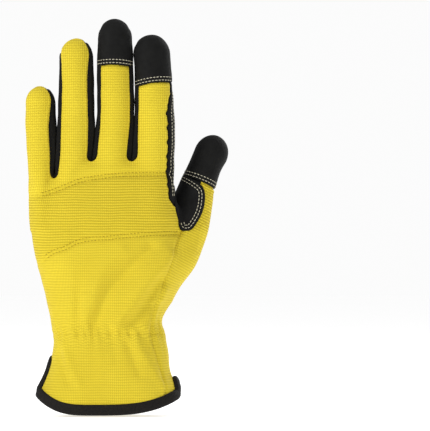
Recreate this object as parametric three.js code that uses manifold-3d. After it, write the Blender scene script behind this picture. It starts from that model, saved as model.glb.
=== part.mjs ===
// A left-hand mechanic glove with a stretch-fabric back and a synthetic-leather palm, shown filled out as on a hand.
// Millimetres. +Z runs from the cuff to the fingertips, +X to the thumb side, and +Y to the palm.
// The origin is the middle of the cuff opening, where the hand goes in.
//
// The glove's outer form is a body with four fingers and a thumb, each lofted through the rows of a short table.
// form(grow) gives that form made larger or smaller all round, so a wall is one form less a smaller one.
// The wall is then parted into the sewn panels, with a small gap at each seam, and patches lie on top of it.
import * as THREE from "three";
import { mergeVertices } from "three/addons/utils/BufferGeometryUtils.js";
import Module from "manifold-3d";

const wasm = await Module();
wasm.setup();

// Driving dimensions
const WALL = 1.4; // thickness of the fabric and leather panels
const PATCH = 1.0; // thickness of a patch sewn on top of a panel
const HEEL_PATCH_THICK = 0.8; // and of the one on top of another patch
const GAP = 0.3; // gap at each seam and under each patch
const BINDING_HEIGHT = 6.5; // how far the cuff's binding tape reaches up the cloth
const BINDING_PROUD = 0.9; // how far the tape stands out on each side of the cloth
const GUSSET_BACK = 6.8; // reach of the strips between the fingers towards the back
const GUSSET_PALM = 5.6; // and towards the palm
const GATHER_DEPTH = 0.7; // height of the folds round the elastic wrist
const FAR = 200; // well past the glove on every side
const TOP = 262; // above the fingertips

// Numbers of facets. The inner face of the wall has half as many.
const BODY_SIDES = 40; // every other one is the crest of a fold at the wrist
const DIGIT_SIDES = 16;
const DOME_ANGLES = [35, 65]; // rows of a fingertip's dome, in degrees from its rim

// The hand's body, bottom to top: its reach to the little-finger side, the thumb side, the back and the palm.
// drop lowers the little-finger end of a row, as the roots of the fingers run aslant.
// tilt raises a row towards the palm, where the fingers part further up.
// gather is the share of the wrist folds' height that a row has.
const BODY = [
  { z: -8, ulnar: 50, radial: 46.4, back: 30, palm: 30, drop: 0, tilt: 0, gather: 0 },
  { z: 13, ulnar: 45.4, radial: 45, back: 28, palm: 28, drop: 0, tilt: 0, gather: 0.2 },
  { z: 19, ulnar: 41.6, radial: 43.3, back: 27, palm: 27, drop: 0, tilt: 0, gather: 0.3 },
  { z: 25, ulnar: 38.5, radial: 40.3, back: 26.2, palm: 26.2, drop: 0, tilt: 0, gather: 0.5 },
  { z: 38, ulnar: 35.2, radial: 38.3, back: 24, palm: 24, drop: 0, tilt: 0, gather: 0.8 },
  { z: 50, ulnar: 34.5, radial: 35.7, back: 22.6, palm: 22.6, drop: 0, tilt: 0, gather: 1 },
  { z: 58, ulnar: 35.8, radial: 33.4, back: 22.4, palm: 23, drop: 0, tilt: 0, gather: 0.8 },
  { z: 66, ulnar: 37.3, radial: 34.2, back: 22.6, palm: 24.2, drop: 0, tilt: 0, gather: 0.2 },
  { z: 82, ulnar: 41.2, radial: 39.2, back: 22.6, palm: 25.6, drop: 0, tilt: 0, gather: 0 },
  { z: 98, ulnar: 45.9, radial: 42, back: 21.8, palm: 25.6, drop: 0, tilt: 0, gather: 0 },
  { z: 112, ulnar: 48, radial: 43, back: 20.2, palm: 23.6, drop: 0, tilt: 0, gather: 0 },
  { z: 126, ulnar: 48.9, radial: 43, back: 18.2, palm: 20.8, drop: 2.5, tilt: 0, gather: 0 },
  { z: 140, ulnar: 49.4, radial: 42.2, back: 16, palm: 18, drop: 6.5, tilt: 0.04, gather: 0 },
  { z: 152, ulnar: 49.4, radial: 41.8, back: 14, palm: 15.8, drop: 10, tilt: 0.1, gather: 0 },
  { z: 158.5, ulnar: 48.6, radial: 41, back: 12, palm: 13.4, drop: 11, tilt: 0.2, gather: 0 },
  { z: 161.8, ulnar: 47, radial: 39.5, back: 10.2, palm: 10.8, drop: 11, tilt: 0.27, gather: 0 },
];
const BODY_SQUARENESS = 2.4; // 2 is an ellipse
const DROP_FROM_X = -9.5; // the finger roots are level from here to the thumb side
const DROP_TO_X = -33;

// The web that fills the corner between the palm and the thumb
const WEB = {
  tip: 131,
  rows: [
    { z: 74, x: 27, y: 3, wide: 10, deep: 17 },
    { z: 90, x: 34, y: 4, wide: 12, deep: 16 },
    { z: 104, x: 39, y: 5, wide: 11, deep: 13 },
    { z: 114, x: 41, y: 6, wide: 9.4, deep: 10.5 },
    { z: 122, x: 42.6, y: 7.5, wide: 6.8, deep: 8.4 },
    { z: 127, x: 43, y: 8, wide: 4.4, deep: 6.5 },
  ],
};

// Each finger: the centre x and y, half width and half depth at heights z, then the top of its rounded end.
const FINGERS = {
  little: {
    tip: 208,
    rows: [
      { z: 118, x: -40.6, y: 0, wide: 7, deep: 13 },
      { z: 140, x: -42.2, y: 0, wide: 7.4, deep: 12 },
      { z: 168, x: -42.5, y: 0.8, wide: 9.2, deep: 10.3 },
      { z: 184, x: -43, y: 2, wide: 9.8, deep: 9.8 },
      { z: 197, x: -43.1, y: 3.6, wide: 9.3, deep: 9.3 },
    ],
  },
  ring: {
    tip: 238.4,
    rows: [
      { z: 125, x: -22.6, y: 0, wide: 11.4, deep: 14 },
      { z: 150, x: -22.9, y: 0, wide: 11.3, deep: 12.6 },
      { z: 185, x: -20.2, y: 1.4, wide: 11.7, deep: 11.2 },
      { z: 206, x: -20.3, y: 3.3, wide: 11.3, deep: 10.9 },
      { z: 225.5, x: -20.2, y: 6, wide: 10.5, deep: 10.4 },
    ],
  },
  middle: {
    tip: 250.4,
    rows: [
      { z: 125, x: 1.2, y: 0, wide: 12, deep: 14.5 },
      { z: 150, x: 1.3, y: 0, wide: 12.4, deep: 13 },
      { z: 186, x: 4.3, y: 1.5, wide: 11.9, deep: 11.5 },
      { z: 207, x: 4.5, y: 3.4, wide: 11.7, deep: 11.2 },
      { z: 226, x: 4.2, y: 5.8, wide: 11.5, deep: 10.9 },
      { z: 237, x: 4, y: 7.4, wide: 10.9, deep: 10.4 },
    ],
  },
  index: {
    tip: 240.2,
    rows: [
      { z: 125, x: 28.4, y: 0, wide: 12.8, deep: 14 },
      { z: 150, x: 28.4, y: 0, wide: 13.3, deep: 12.8 },
      { z: 170, x: 29.2, y: 0.5, wide: 12.8, deep: 11.9 },
      { z: 190, x: 29.2, y: 1.5, wide: 12.5, deep: 11.4 },
      { z: 208, x: 28.4, y: 3.6, wide: 11.8, deep: 11.1 },
      { z: 228, x: 27.2, y: 6.3, wide: 11.3, deep: 10.6 },
    ],
  },
};

// The thumb has an axis of its own. along is the distance up that axis, out the centre's offset away from the palm,
// wide the half width in that direction and deep the half depth from back to palm.
const THUMB_ROOT = new THREE.Vector3(26, 5, 72);
const THUMB_AXIS = new THREE.Vector3(0.366, 0.127, 0.922).normalize();
const THUMB = {
  tip: 113.7,
  rows: [
    { along: -12, out: -2, wide: 10.5, deep: 12 },
    { along: 0, out: 0.3, wide: 12.2, deep: 14 },
    { along: 15, out: 2.2, wide: 12.8, deep: 15 },
    { along: 32, out: 4.9, wide: 14.1, deep: 14.5 },
    { along: 48, out: 5, wide: 14.1, deep: 13 },
    { along: 62, out: 3.7, wide: 13.1, deep: 12 },
    { along: 73, out: 2.4, wide: 11.9, deep: 11.4 },
    { along: 84, out: 1.3, wide: 10.7, deep: 10.8 },
    { along: 94, out: 1.2, wide: 10, deep: 10.4 },
    { along: 101, out: 1.9, wide: 10.2, deep: 10.2 },
  ],
};

// Where the panels meet, as heights or as outlines seen from the back of the hand
const PARTING_ULNAR = 8.5; // the fabric back wraps this far round the little-finger side, towards the palm
const PARTING_LITTLE = { wrap: 5.5, from: 132, to: 162 }; // and this far round the little finger, above the knuckle
const PARTING_EASE = { from: 3, to: 13 }; // in from that side, where it comes back to the fingers' centre lines
const SIDE_PANEL_Y = 8; // the thumb-side panel has one outline on the back of this depth and one on the palm side
const THUMB_FRONT_Y = 0; // and so has the leather of the thumb
const THUMB_CAP_FROM = 82; // along the thumb's axis
const THUMB_CAP_WIDTH = 25; // wider than the thumb and clear of the index finger
const THUMB_CAP_OUT = 1.5; // offset of that width's middle
const THUMB_CAP_REACH = 40; // past the thumb's end
const MIDDLE_CAP_FROM = 221;
const INDEX_CAP_FROM = 209.5;
const CAP_MARGIN = 2.5; // past a finger's sides, and short of the next finger
const GUSSET_FROM = 110; // below the finger roots
const GUSSET_INSET = 1; // a strip between two fingers starts this far from their centre lines
const GUSSET_END = 4; // it ends this far below each fingertip
const GUSSET_TAPER = 24; // and narrows over this length
const INDEX_STRIP = { from: 133, back: -7.2, palm: 10, inset: 2, toX: 47.5 }; // down the index finger's outer side
const PALM_HEM = { x0: -38, z0: 64.5, x1: 28.5, z1: 72 }; // lower edge of the leather palm
const SLIT = { top: 33, y: 2.5, halfAtFoot: 10, foot: -6, toX: -15 }; // in the little-finger side of the cuff
const NOTCH_BINDING = 5; // how far the tape reaches beside the slit and the notch
const RIM_LOW_X = -12; // the cuff's edge is lowest here, at the height of the origin
const RIM_RISE = 13; // and this much higher at its two sides
const RIM_STEEPEST = 1.3; // the most that it rises, as a share of that
const RIM_ULNAR = { x: -47.5, power: 3 }; // how far out each side is, and how late the edge rises to it
const RIM_RADIAL = { x: 49.5, power: 3.5 };
const SIDE_NOTCH = { top: 18, half: 4.5, halfAtFoot: 15, foot: -6, fromX: 15 }; // in the cuff's thumb side

const SIDE_SEAM_BACK = [
  [38, -8], [37, 12], [34.4, 26], [30.4, 40], [26.8, 54], [28.2, 66], [34, 79], [40.4, 98], [46.8, 116.5],
  [53, 132], [60, 149.5],
];
const SIDE_SEAM_PALM = [
  [28.2, -8], [27.8, 12], [26.6, 28], [25.4, 42], [24.8, 56], [27.4, 69], [31.4, 81], [38, 94], [45.8, 109],
  [51.4, 120], [61.5, 145],
];
const THUMB_FRONT_BACK = [[41.9, 136.6], [46.8, 116.5], [53, 132], [60, 149.5], [49, 166], [43, 152]];
const THUMB_FRONT_PALM = [[35, 127.4], [45.8, 109], [51.4, 120], [61.5, 145], [49, 166], [43, 152], [41.6, 139]];
const PALM_PATCH = [
  [-62, 68.5], [-40, 69.8], [-22, 72], [-12.6, 74.4], [-8.6, 79], [-7.4, 88], [-5, 100], [4, 114.6],
  [17, 129.6], [23.4, 142], [21, 153.4], [6, 159.4], [-20, 156.6], [-46, 150], [-62, 146.4],
];
const HEEL_PATCH = [
  [-62, 85.6], [-46, 86.9], [-34, 88.6], [-27.6, 91.4], [-25.2, 98], [-21.2, 109], [-13.6, 122], [-9, 131.6],
  [-13, 138], [-26, 137.4], [-46, 132.4], [-62, 128.4],
];
const SADDLE_PATCH = [
  [41.5, 137], [43.6, 124], [46.6, 116.6], [51.4, 116.4], [56.6, 122.4], [60.6, 133], [60, 143.6], [54, 148.6],
  [44, 152.6],
];
const PATCH_FROM_Y = 5; // the palm's patches lie on the palm side of this depth
const PATCH_INSET = 1; // and stop this far short of the fabric back
const SADDLE_TO_Y = 14; // the patch over the thumb's root ends at this depth
const PULL_TAB = [
  [6.2, 4], [6.6, 10.6], [7.8, 16.6], [11, 19.3], [16, 20.4], [21, 20.4], [22.4, 18.6], [20.9, 14], [19.6, 4],
];
const PULL_TAB_THICK = 1.8;

// Solids from shapes

function solid(geometry) {
  const bare = new THREE.BufferGeometry();
  bare.setAttribute("position", geometry.getAttribute("position"));
  if (geometry.index) bare.setIndex(geometry.index);
  const merged = mergeVertices(bare, 1e-4);
  const vertProperties = merged.attributes.position.array;
  const triVerts = new Uint32Array(merged.index.array);
  const made = new wasm.Manifold(new wasm.Mesh({ numProp: 3, vertProperties, triVerts }));
  if (made.volume() > 0) return made;
  for (let i = 0; i < triVerts.length; i += 3) {
    [triVerts[i + 1], triVerts[i + 2]] = [triVerts[i + 2], triVerts[i + 1]];
  }
  return new wasm.Manifold(new wasm.Mesh({ numProp: 3, vertProperties, triVerts }));
}

// A closed solid through rings of as many points each, with a fan of triangles over each end, up to crown at the top.
function loft(rings, crown) {
  const sides = rings[0].length;
  const points = rings.flat();
  const faces = [];
  for (let r = 0; r + 1 < rings.length; r++) {
    for (let i = 0; i < sides; i++) {
      const a = r * sides + i;
      const b = r * sides + ((i + 1) % sides);
      faces.push(a, b, b + sides, a, b + sides, a + sides);
    }
  }
  [0, rings.length - 1].forEach((r) => {
    const middle = new THREE.Vector3();
    rings[r].forEach((p) => middle.addScaledVector(p, 1 / sides));
    const centre = points.push(r > 0 && crown ? crown : middle) - 1;
    for (let i = 0; i < sides; i++) {
      const a = r * sides + i;
      const b = r * sides + ((i + 1) % sides);
      faces.push(...(r === 0 ? [centre, b, a] : [centre, a, b]));
    }
  });
  return solid(new THREE.BufferGeometry().setFromPoints(points).setIndex(faces));
}

// A prism with an outline of [x, z] points, from depth y0 to y1.
function prismXZ(outline, y0, y1) {
  const shape = new THREE.Shape(outline.map(([x, z]) => new THREE.Vector2(x, z)));
  const geometry = new THREE.ExtrudeGeometry(shape, { depth: y1 - y0, bevelEnabled: false });
  return solid(geometry.rotateX(Math.PI / 2).translate(0, y1, 0));
}

// A prism with an outline of [y, z] points, from x0 to x1.
function prismYZ(outline, x0, x1) {
  const shape = new THREE.Shape(outline.map(([y, z]) => new THREE.Vector2(y, z)));
  const geometry = new THREE.ExtrudeGeometry(shape, { depth: x1 - x0, bevelEnabled: false });
  return solid(geometry.rotateX(Math.PI / 2).rotateZ(Math.PI / 2).translate(x0, 0, 0));
}

// The solid between two depths, low(x, z) and high(x, z), over a grid of x and z. shift(z) moves a row of it along x.
function slab(xs, zs, low, high, shift = () => 0) {
  const points = [];
  const faces = [];
  const count = xs.length * zs.length;
  [low, high].forEach((depth) => {
    zs.forEach((z) => xs.forEach((x) => points.push(new THREE.Vector3(x + shift(z), depth(x, z), z))));
  });
  const quad = (a, b, c, d) => faces.push(a, b, c, a, c, d);
  const at = (i, j) => j * xs.length + i;
  for (let j = 0; j + 1 < zs.length; j++) {
    for (let i = 0; i + 1 < xs.length; i++) {
      quad(at(i, j), at(i + 1, j), at(i + 1, j + 1), at(i, j + 1));
      quad(count + at(i, j), count + at(i, j + 1), count + at(i + 1, j + 1), count + at(i + 1, j));
    }
  }
  const lastX = xs.length - 1;
  const lastZ = zs.length - 1;
  for (let i = 0; i < lastX; i++) {
    quad(at(i + 1, 0), at(i, 0), count + at(i, 0), count + at(i + 1, 0));
    quad(at(i, lastZ), at(i + 1, lastZ), count + at(i + 1, lastZ), count + at(i, lastZ));
  }
  for (let j = 0; j < lastZ; j++) {
    quad(at(0, j), at(0, j + 1), count + at(0, j + 1), count + at(0, j));
    quad(at(lastX, j + 1), at(lastX, j), count + at(lastX, j), count + at(lastX, j + 1));
  }
  return solid(new THREE.BufferGeometry().setFromPoints(points).setIndex(faces));
}

// A smooth outline through the points of a coarse one
function rounded(outline) {
  const curve = new THREE.SplineCurve(outline.map(([x, z]) => new THREE.Vector2(x, z)));
  return curve.getPoints(2 * (outline.length - 1)).map(({ x, y }) => [x, y]);
}

// An outline moved outwards by grow at each corner.
function inflate(outline, grow) {
  const area = outline.reduce((sum, [x, z], i) => {
    const [x1, z1] = outline[(i + 1) % outline.length];
    return sum + x * z1 - x1 * z;
  }, 0);
  const side = Math.sign(area);
  return outline.map(([x, z], i) => {
    const [xa, za] = outline[(i + outline.length - 1) % outline.length];
    const [xb, zb] = outline[(i + 1) % outline.length];
    const one = new THREE.Vector2(z - za, xa - x).normalize();
    const two = new THREE.Vector2(zb - z, x - xb).normalize();
    const out = one.add(two).normalize().multiplyScalar(side * grow);
    return [x + out.x, z + out.y];
  });
}

function between(rows, key, at, column) {
  const next = rows.findIndex((row) => row[key] >= at);
  if (next === 0) return rows[0][column];
  if (next < 0) return rows[rows.length - 1][column];
  const a = rows[next - 1];
  const b = rows[next];
  return THREE.MathUtils.lerp(a[column], b[column], (at - a[key]) / (b[key] - a[key]));
}

// The glove's form

// One row of the body. The inner face has half the sides and no folds.
function bodyRing(row, grow) {
  const ring = [];
  const inner = grow < 0;
  for (let i = 0; i < BODY_SIDES; i += inner ? 2 : 1) {
    const angle = (2 * Math.PI * i) / BODY_SIDES;
    const fold = inner ? 0 : row.gather * GATHER_DEPTH * (i % 2 === 0 ? 1 : -1);
    const c = Math.cos(angle);
    const s = Math.sin(angle);
    const reachX = (c > 0 ? row.radial : row.ulnar) + grow + fold;
    const reachY = (s > 0 ? row.palm : row.back) + grow + fold;
    const x = reachX * Math.sign(c) * Math.abs(c) ** (2 / BODY_SQUARENESS);
    const y = reachY * Math.sign(s) * Math.abs(s) ** (2 / BODY_SQUARENESS);
    const lower = row.drop * THREE.MathUtils.smoothstep(-x, -DROP_FROM_X, -DROP_TO_X);
    ring.push(new THREE.Vector3(x, y, row.z - lower + row.tilt * y));
  }
  return ring;
}

// A digit through its rows, with a rounded end. place(row, a, b) puts a point of a ring in space.
function digit({ rows, tip }, key, grow, place) {
  const last = rows[rows.length - 1];
  const height = tip - last[key] + grow;
  const dome = DOME_ANGLES.map((degrees) => {
    const angle = THREE.MathUtils.degToRad(degrees);
    const wide = (last.wide + grow) * Math.cos(angle) - grow;
    const deep = (last.deep + grow) * Math.cos(angle) - grow;
    return { ...last, [key]: last[key] + height * Math.sin(angle), wide, deep };
  });
  const sides = grow < 0 ? DIGIT_SIDES / 2 : DIGIT_SIDES;
  const rings = [...rows, ...dome].map((row) => {
    const ring = [];
    for (let i = 0; i < sides; i++) {
      const angle = (2 * Math.PI * i) / sides;
      ring.push(place(row, (row.wide + grow) * Math.cos(angle), (row.deep + grow) * Math.sin(angle)));
    }
    return ring;
  });
  return loft(rings, place({ ...last, [key]: tip + grow }, 0, 0));
}

const finger = (shape, grow) => digit(shape, "z", grow, ({ x, y, z }, a, b) => new THREE.Vector3(x + a, y + b, z));

// The thumb's own directions: out is away from the palm's middle, and deep from the back towards the palm.
const THUMB_DEEP = new THREE.Vector3(0, 1, 0).addScaledVector(THUMB_AXIS, -THUMB_AXIS.y).normalize();
const THUMB_OUT = new THREE.Vector3().crossVectors(THUMB_DEEP, THUMB_AXIS);

function thumbPoint(along, out, deep) {
  return THUMB_ROOT.clone()
    .addScaledVector(THUMB_AXIS, along)
    .addScaledVector(THUMB_OUT, out)
    .addScaledVector(THUMB_DEEP, deep);
}

const thumb = (grow) => digit(THUMB, "along", grow, (row, a, b) => thumbPoint(row.along, row.out + a, b));

function form(grow) {
  const top = BODY[BODY.length - 1];
  const rows = [...BODY.slice(0, -1), { ...top, z: top.z + grow }];
  const body = loft(rows.map((row) => bodyRing(row, grow)));
  const digits = [...Object.values(FINGERS), WEB].map((shape) => finger(shape, grow));
  return digits.reduce((whole, part) => whole.add(part), body).add(thumb(grow));
}

// Places where the wall is parted

const fingerNames = Object.keys(FINGERS);
const axisX = fingerNames.map((name) => FINGERS[name].rows[4].x); // the centre lines near the fingertips
const curl = (z) => between(FINGERS.middle.rows, "z", z, "y"); // how far the fingers bend to the palm at a height
const HEIGHTS = [-10, 50, 90, 125, 150, 186, 207, 226, 237, TOP];

// The edge of the little-finger side, seen from the back
function ulnarEdge(z) {
  const finger = FINGERS.little.rows;
  return z < 140 ? -between(BODY, "z", z, "ulnar") : between(finger, "z", z, "x") - between(finger, "z", z, "wide");
}

// The depth at which the back and the palm halves meet, at a distance in from that edge
function parting(inwards, z) {
  const up = THREE.MathUtils.smoothstep(z, PARTING_LITTLE.from, PARTING_LITTLE.to);
  const wrap = THREE.MathUtils.lerp(PARTING_ULNAR, PARTING_LITTLE.wrap, up);
  return curl(z) + wrap * (1 - THREE.MathUtils.smoothstep(inwards, PARTING_EASE.from, PARTING_EASE.to));
}

const PARTING_STEPS = [-FAR, PARTING_EASE.from, 6, 10, PARTING_EASE.to, FAR];
const backHalf = (g) => slab(PARTING_STEPS, HEIGHTS, () => -FAR, (x, z) => parting(x, z) + g, ulnarEdge);
const palmHalf = (g) => slab(PARTING_STEPS, HEIGHTS, (x, z) => parting(x, z) - g, () => FAR, ulnarEdge);

// The strip between two fingers, which narrows to nearly nothing at each finger's end
function gusset(k, g) {
  const x0 = axisX[k] + GUSSET_INSET;
  const x1 = axisX[k + 1] - GUSSET_INSET;
  const middle = (x0 + x1) / 2;
  const tips = [FINGERS[fingerNames[k]].tip, FINGERS[fingerNames[k + 1]].tip];
  const least = 0.02;
  const reach = (x, z) => {
    const below = (tips[x < middle ? 0 : 1] - GUSSET_END - z) / GUSSET_TAPER;
    return Math.max(least, Math.min(1, Math.sqrt(Math.max(0, below))));
  };
  const taper = [1, 1 / 3, 1 / 12, 0].map((share) => GUSSET_END + share * GUSSET_TAPER);
  const steps = tips.flatMap((tip) => taper.map((below) => tip - below));
  const zs = [...new Set([GUSSET_FROM, 150, 186, ...steps, TOP])].sort((a, b) => a - b);
  const xs = [x0 - g, middle - least, middle + least, x1 + g];
  const low = (x, z) => curl(z) - GUSSET_BACK * reach(x, z) - g;
  const high = (x, z) => curl(z) + GUSSET_PALM * reach(x, z) + g;
  return slab(xs, zs, low, high);
}

function indexStrip(g) {
  const { from, back, palm, inset, toX } = INDEX_STRIP;
  const zs = [from - g, 150, 170, 190, INDEX_CAP_FROM - GAP + g];
  const low = (x, z) => curl(z) + back - g;
  const high = (x, z) => curl(z) + palm + g;
  return slab([axisX[3] + inset - g, toX], zs, low, high);
}

function fingerCap(name, from, g) {
  const { x, wide } = FINGERS[name].rows.at(-1);
  const side = wide + CAP_MARGIN;
  return slab([x - side, x, x + side], [from - g, 226, 237, TOP], () => -FAR, (px, z) => curl(z) + g);
}

function thumbCap(g) {
  const block = new THREE.BoxGeometry(THUMB_CAP_WIDTH, THUMB_CAP_REACH, THUMB_CAP_REACH);
  const turn = new THREE.Matrix4().makeBasis(THUMB_OUT, THUMB_DEEP, THUMB_AXIS);
  turn.setPosition(thumbPoint(THUMB_CAP_FROM + THUMB_CAP_REACH / 2 - g, THUMB_CAP_OUT, 0));
  return solid(block.applyMatrix4(turn));
}

// A region with one outline on the back of a depth and another on the palm side of it
function twoSided(back, palm, depth, g) {
  return prismXZ(inflate(back, g), -FAR, depth + g).add(prismXZ(inflate(palm, g), depth - g, FAR));
}

function sidePanel(g) {
  const right = [[FAR, 160], [FAR, SIDE_SEAM_BACK[0][1]]];
  return twoSided([...SIDE_SEAM_BACK, ...right], [...SIDE_SEAM_PALM, ...right], SIDE_PANEL_Y, g);
}

const thumbFront = (g) => twoSided(THUMB_FRONT_BACK, THUMB_FRONT_PALM, THUMB_FRONT_Y, g);

function cuffFront(g) {
  const { x0, z0, x1, z1 } = PALM_HEM;
  const slope = (z1 - z0) / (x1 - x0);
  const hem = (x) => z0 + slope * (x - x0) + g;
  const outline = [[-FAR, -FAR], [FAR, -FAR], [FAR, hem(FAR)], [-FAR, hem(-FAR)]];
  return prismXZ(outline, -FAR, FAR).intersect(palmHalf(g));
}

// The cuff's edge and slit

function rimAt(x) {
  const side = x < RIM_LOW_X ? RIM_ULNAR : RIM_RADIAL;
  return RIM_RISE * Math.min(RIM_STEEPEST, ((x - RIM_LOW_X) / (side.x - RIM_LOW_X)) ** side.power);
}

const RIM_STEPS = [-60, -48, -44, -40, -35, -28, RIM_LOW_X, 6, 20, 30, 38, 44, 50, 60];

function belowRim(above) {
  const line = RIM_STEPS.map((x) => [x, rimAt(x) + above]);
  const foot = [[RIM_STEPS.at(-1), -FAR], [RIM_STEPS[0], -FAR]];
  return prismXZ([...line, ...foot], -FAR, FAR);
}

function slitWedge(grow) {
  const { top, y, halfAtFoot, foot, toX } = SLIT;
  const wedge = [[y, top], [y + halfAtFoot, foot], [y - halfAtFoot, foot]];
  return prismYZ(inflate(wedge, grow), -FAR, toX);
}

function sideNotch(grow) {
  const { top, half, halfAtFoot, foot, fromX } = SIDE_NOTCH;
  const outline = [[-half, top], [half, top], [halfAtFoot, foot], [-halfAtFoot, foot]];
  return prismYZ(inflate(outline, grow), fromX, FAR);
}

const notches = (grow) => slitWedge(grow).add(sideNotch(grow));
const away = belowRim(0).add(notches(0)); // what the rim, the slit and the notch leave open
const boundEdge = (g) => belowRim(BINDING_HEIGHT + g).add(notches(NOTCH_BINDING + g));

// Finishes

const finish = (name, color, roughness) => new THREE.MeshStandardMaterial({ name, color, roughness, metalness: 0 });
const fabric = finish("fabric", 0xe8cf2e, 0.85);
const leather = finish("leather", 0x1b1b1b, 0.7);
const tape = finish("tape", 0x201e1d, 0.8);

// The assembly

const glove = new THREE.Group();
glove.name = "mechanic_glove";

// Adds a piece as its largest body, because a cut can leave slivers beside it.
function add(name, piece, material) {
  const parts = piece.decompose().sort((a, b) => b.volume() - a.volume());
  const { numProp, vertProperties, triVerts } = parts[0].getMesh();
  const geometry = new THREE.BufferGeometry();
  const vertices = new THREE.InterleavedBuffer(vertProperties, numProp);
  geometry.setAttribute("position", new THREE.InterleavedBufferAttribute(vertices, 3, 0));
  geometry.setIndex(new THREE.BufferAttribute(triVerts, 1));
  const mesh = new THREE.Mesh(geometry.toNonIndexed(), material);
  mesh.geometry.computeVertexNormals();
  mesh.name = name;
  glove.add(mesh);
}

const outer = form(0);
let wall = outer.subtract(form(-WALL)).subtract(away).subtract(boundEdge(GAP));

// Takes a panel out of the wall and leaves a gap round it.
function cutPanel(name, region, material) {
  add(name, wall.intersect(region(0)), material);
  wall = wall.subtract(region(GAP));
}

cutPanel("thumb_cap", thumbCap, leather);
cutPanel("side_panel", sidePanel, fabric);
cutPanel("thumb_front", thumbFront, leather);
cutPanel("index_side_strip", indexStrip, leather);
fingerNames.slice(0, -1).forEach((name, k) => {
  cutPanel(`gusset_${name}_${fingerNames[k + 1]}`, (g) => gusset(k, g), leather);
});
cutPanel("middle_cap", (g) => fingerCap("middle", MIDDLE_CAP_FROM, g), leather);
cutPanel("index_cap", (g) => fingerCap("index", INDEX_CAP_FROM, g), leather);
cutPanel("cuff_front", cuffFront, fabric);
cutPanel("back_panel", backHalf, fabric);
cutPanel("palm_panel", palmHalf, leather);

// Patches on top of the panels, which follow the form a little further out
const layer = (from, thick) => form(from + thick).subtract(form(from));
const onPalm = (outline) => prismXZ(rounded(outline), PATCH_FROM_Y, FAR).intersect(palmHalf(-PATCH_INSET));
const clear = boundEdge(GAP);
add("palm_patch", layer(GAP, PATCH).intersect(onPalm(PALM_PATCH)), leather);
add("heel_patch", layer(2 * GAP + PATCH, HEEL_PATCH_THICK).intersect(onPalm(HEEL_PATCH)), leather);
add("saddle_patch", layer(GAP, PATCH).intersect(prismXZ(rounded(SADDLE_PATCH), -FAR, SADDLE_TO_Y)), leather);

// The tape round the cuff's edge and slit, folded over the cloth, and the pull tab above it
const tapeWall = form(BINDING_PROUD).subtract(form(-WALL - BINDING_PROUD));
add("cuff_binding", tapeWall.intersect(boundEdge(0)).subtract(away), tape);
const tab = prismXZ(PULL_TAB, 0, FAR).subtract(clear);
add("pull_tab", layer(GAP, PULL_TAB_THICK).intersect(tab), leather);

export default glove;
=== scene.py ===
"""Looks of a left-hand mechanic glove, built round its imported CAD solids.

The glove's form is a smooth field through nearly the same tables as the solids, meshed finely and parted
along the seams. Lengths here are in millimetres, in the frame of the solids: +Z to the fingertips, +X to the
thumb and +Y to the palm. They become metres where an object is made.
"""

import math
from functools import partial, reduce

import bpy
import numpy as np
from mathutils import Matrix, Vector
from mathutils.bvhtree import BVHTree
from mathutils.kdtree import KDTree


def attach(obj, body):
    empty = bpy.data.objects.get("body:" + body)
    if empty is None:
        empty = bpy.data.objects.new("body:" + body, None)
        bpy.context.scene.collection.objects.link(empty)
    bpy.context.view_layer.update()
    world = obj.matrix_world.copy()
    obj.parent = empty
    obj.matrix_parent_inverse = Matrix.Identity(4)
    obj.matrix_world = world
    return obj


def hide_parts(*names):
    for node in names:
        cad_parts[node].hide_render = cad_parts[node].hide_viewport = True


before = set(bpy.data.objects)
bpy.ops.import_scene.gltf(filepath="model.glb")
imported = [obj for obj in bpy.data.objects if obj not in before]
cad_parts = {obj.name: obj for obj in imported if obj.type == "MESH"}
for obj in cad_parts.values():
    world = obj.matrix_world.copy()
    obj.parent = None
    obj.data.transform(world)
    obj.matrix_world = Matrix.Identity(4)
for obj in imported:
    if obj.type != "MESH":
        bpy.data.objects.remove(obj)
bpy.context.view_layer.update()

MM = 0.001
CELL = 0.9  # spacing of the grid that the form is meshed on
CLOTH = 1.2  # thickness of the fabric and leather
FAR = 200.0
GRID_RANGES = ((-56, 80), (-34, 34), (-4, 254))  # along x, y and z, a little wider than the glove
LAYERS_AT_ONCE = 24
SLOPE_STEP = 0.35

# The form's tables, nearly as in the solids. A row of the body dips by its drop towards the little finger,
# and leans by its tilt from back to palm.

BODY_COLUMNS = ("z", "ulnar", "radial", "back", "palm", "drop", "tilt")
BODY = [
    (-8, 50, 47.4, 30, 30, 0, 0),
    (13, 45.4, 46, 28, 28, 0, 0),
    (19, 41.6, 43.8, 27, 27, 0, 0),
    (25, 38.5, 40.3, 26.2, 26.2, 0, 0),
    (38, 35.2, 38.3, 24, 24, 0, 0),
    (50, 34.5, 35.7, 22.6, 22.6, 0, 0),
    (58, 35.8, 33.4, 22.4, 23, 0, 0),
    (66, 37.3, 34.2, 22.6, 24.2, 0, 0),
    (82, 41.2, 39.2, 22.6, 25.6, 0, 0),
    (98, 45.9, 42, 21.8, 25.6, 0, 0),
    (112, 48, 43, 20.2, 23.6, 0, 0),
    (126, 48.9, 43, 18.2, 20.8, 2.5, 0),
    (140, 49.4, 40, 16, 18, 6.5, 0.04),
    (152, 49.4, 39.8, 14, 15.8, 10, 0.1),
    (158.5, 48.6, 40, 12, 13.4, 11, 0.2),
    (161.8, 47, 39, 10.2, 10.8, 11, 0.27),
]
BODY_SQUARENESS = 2.4
DROP_FROM_X = -9.5
DROP_TO_X = -33

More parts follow.
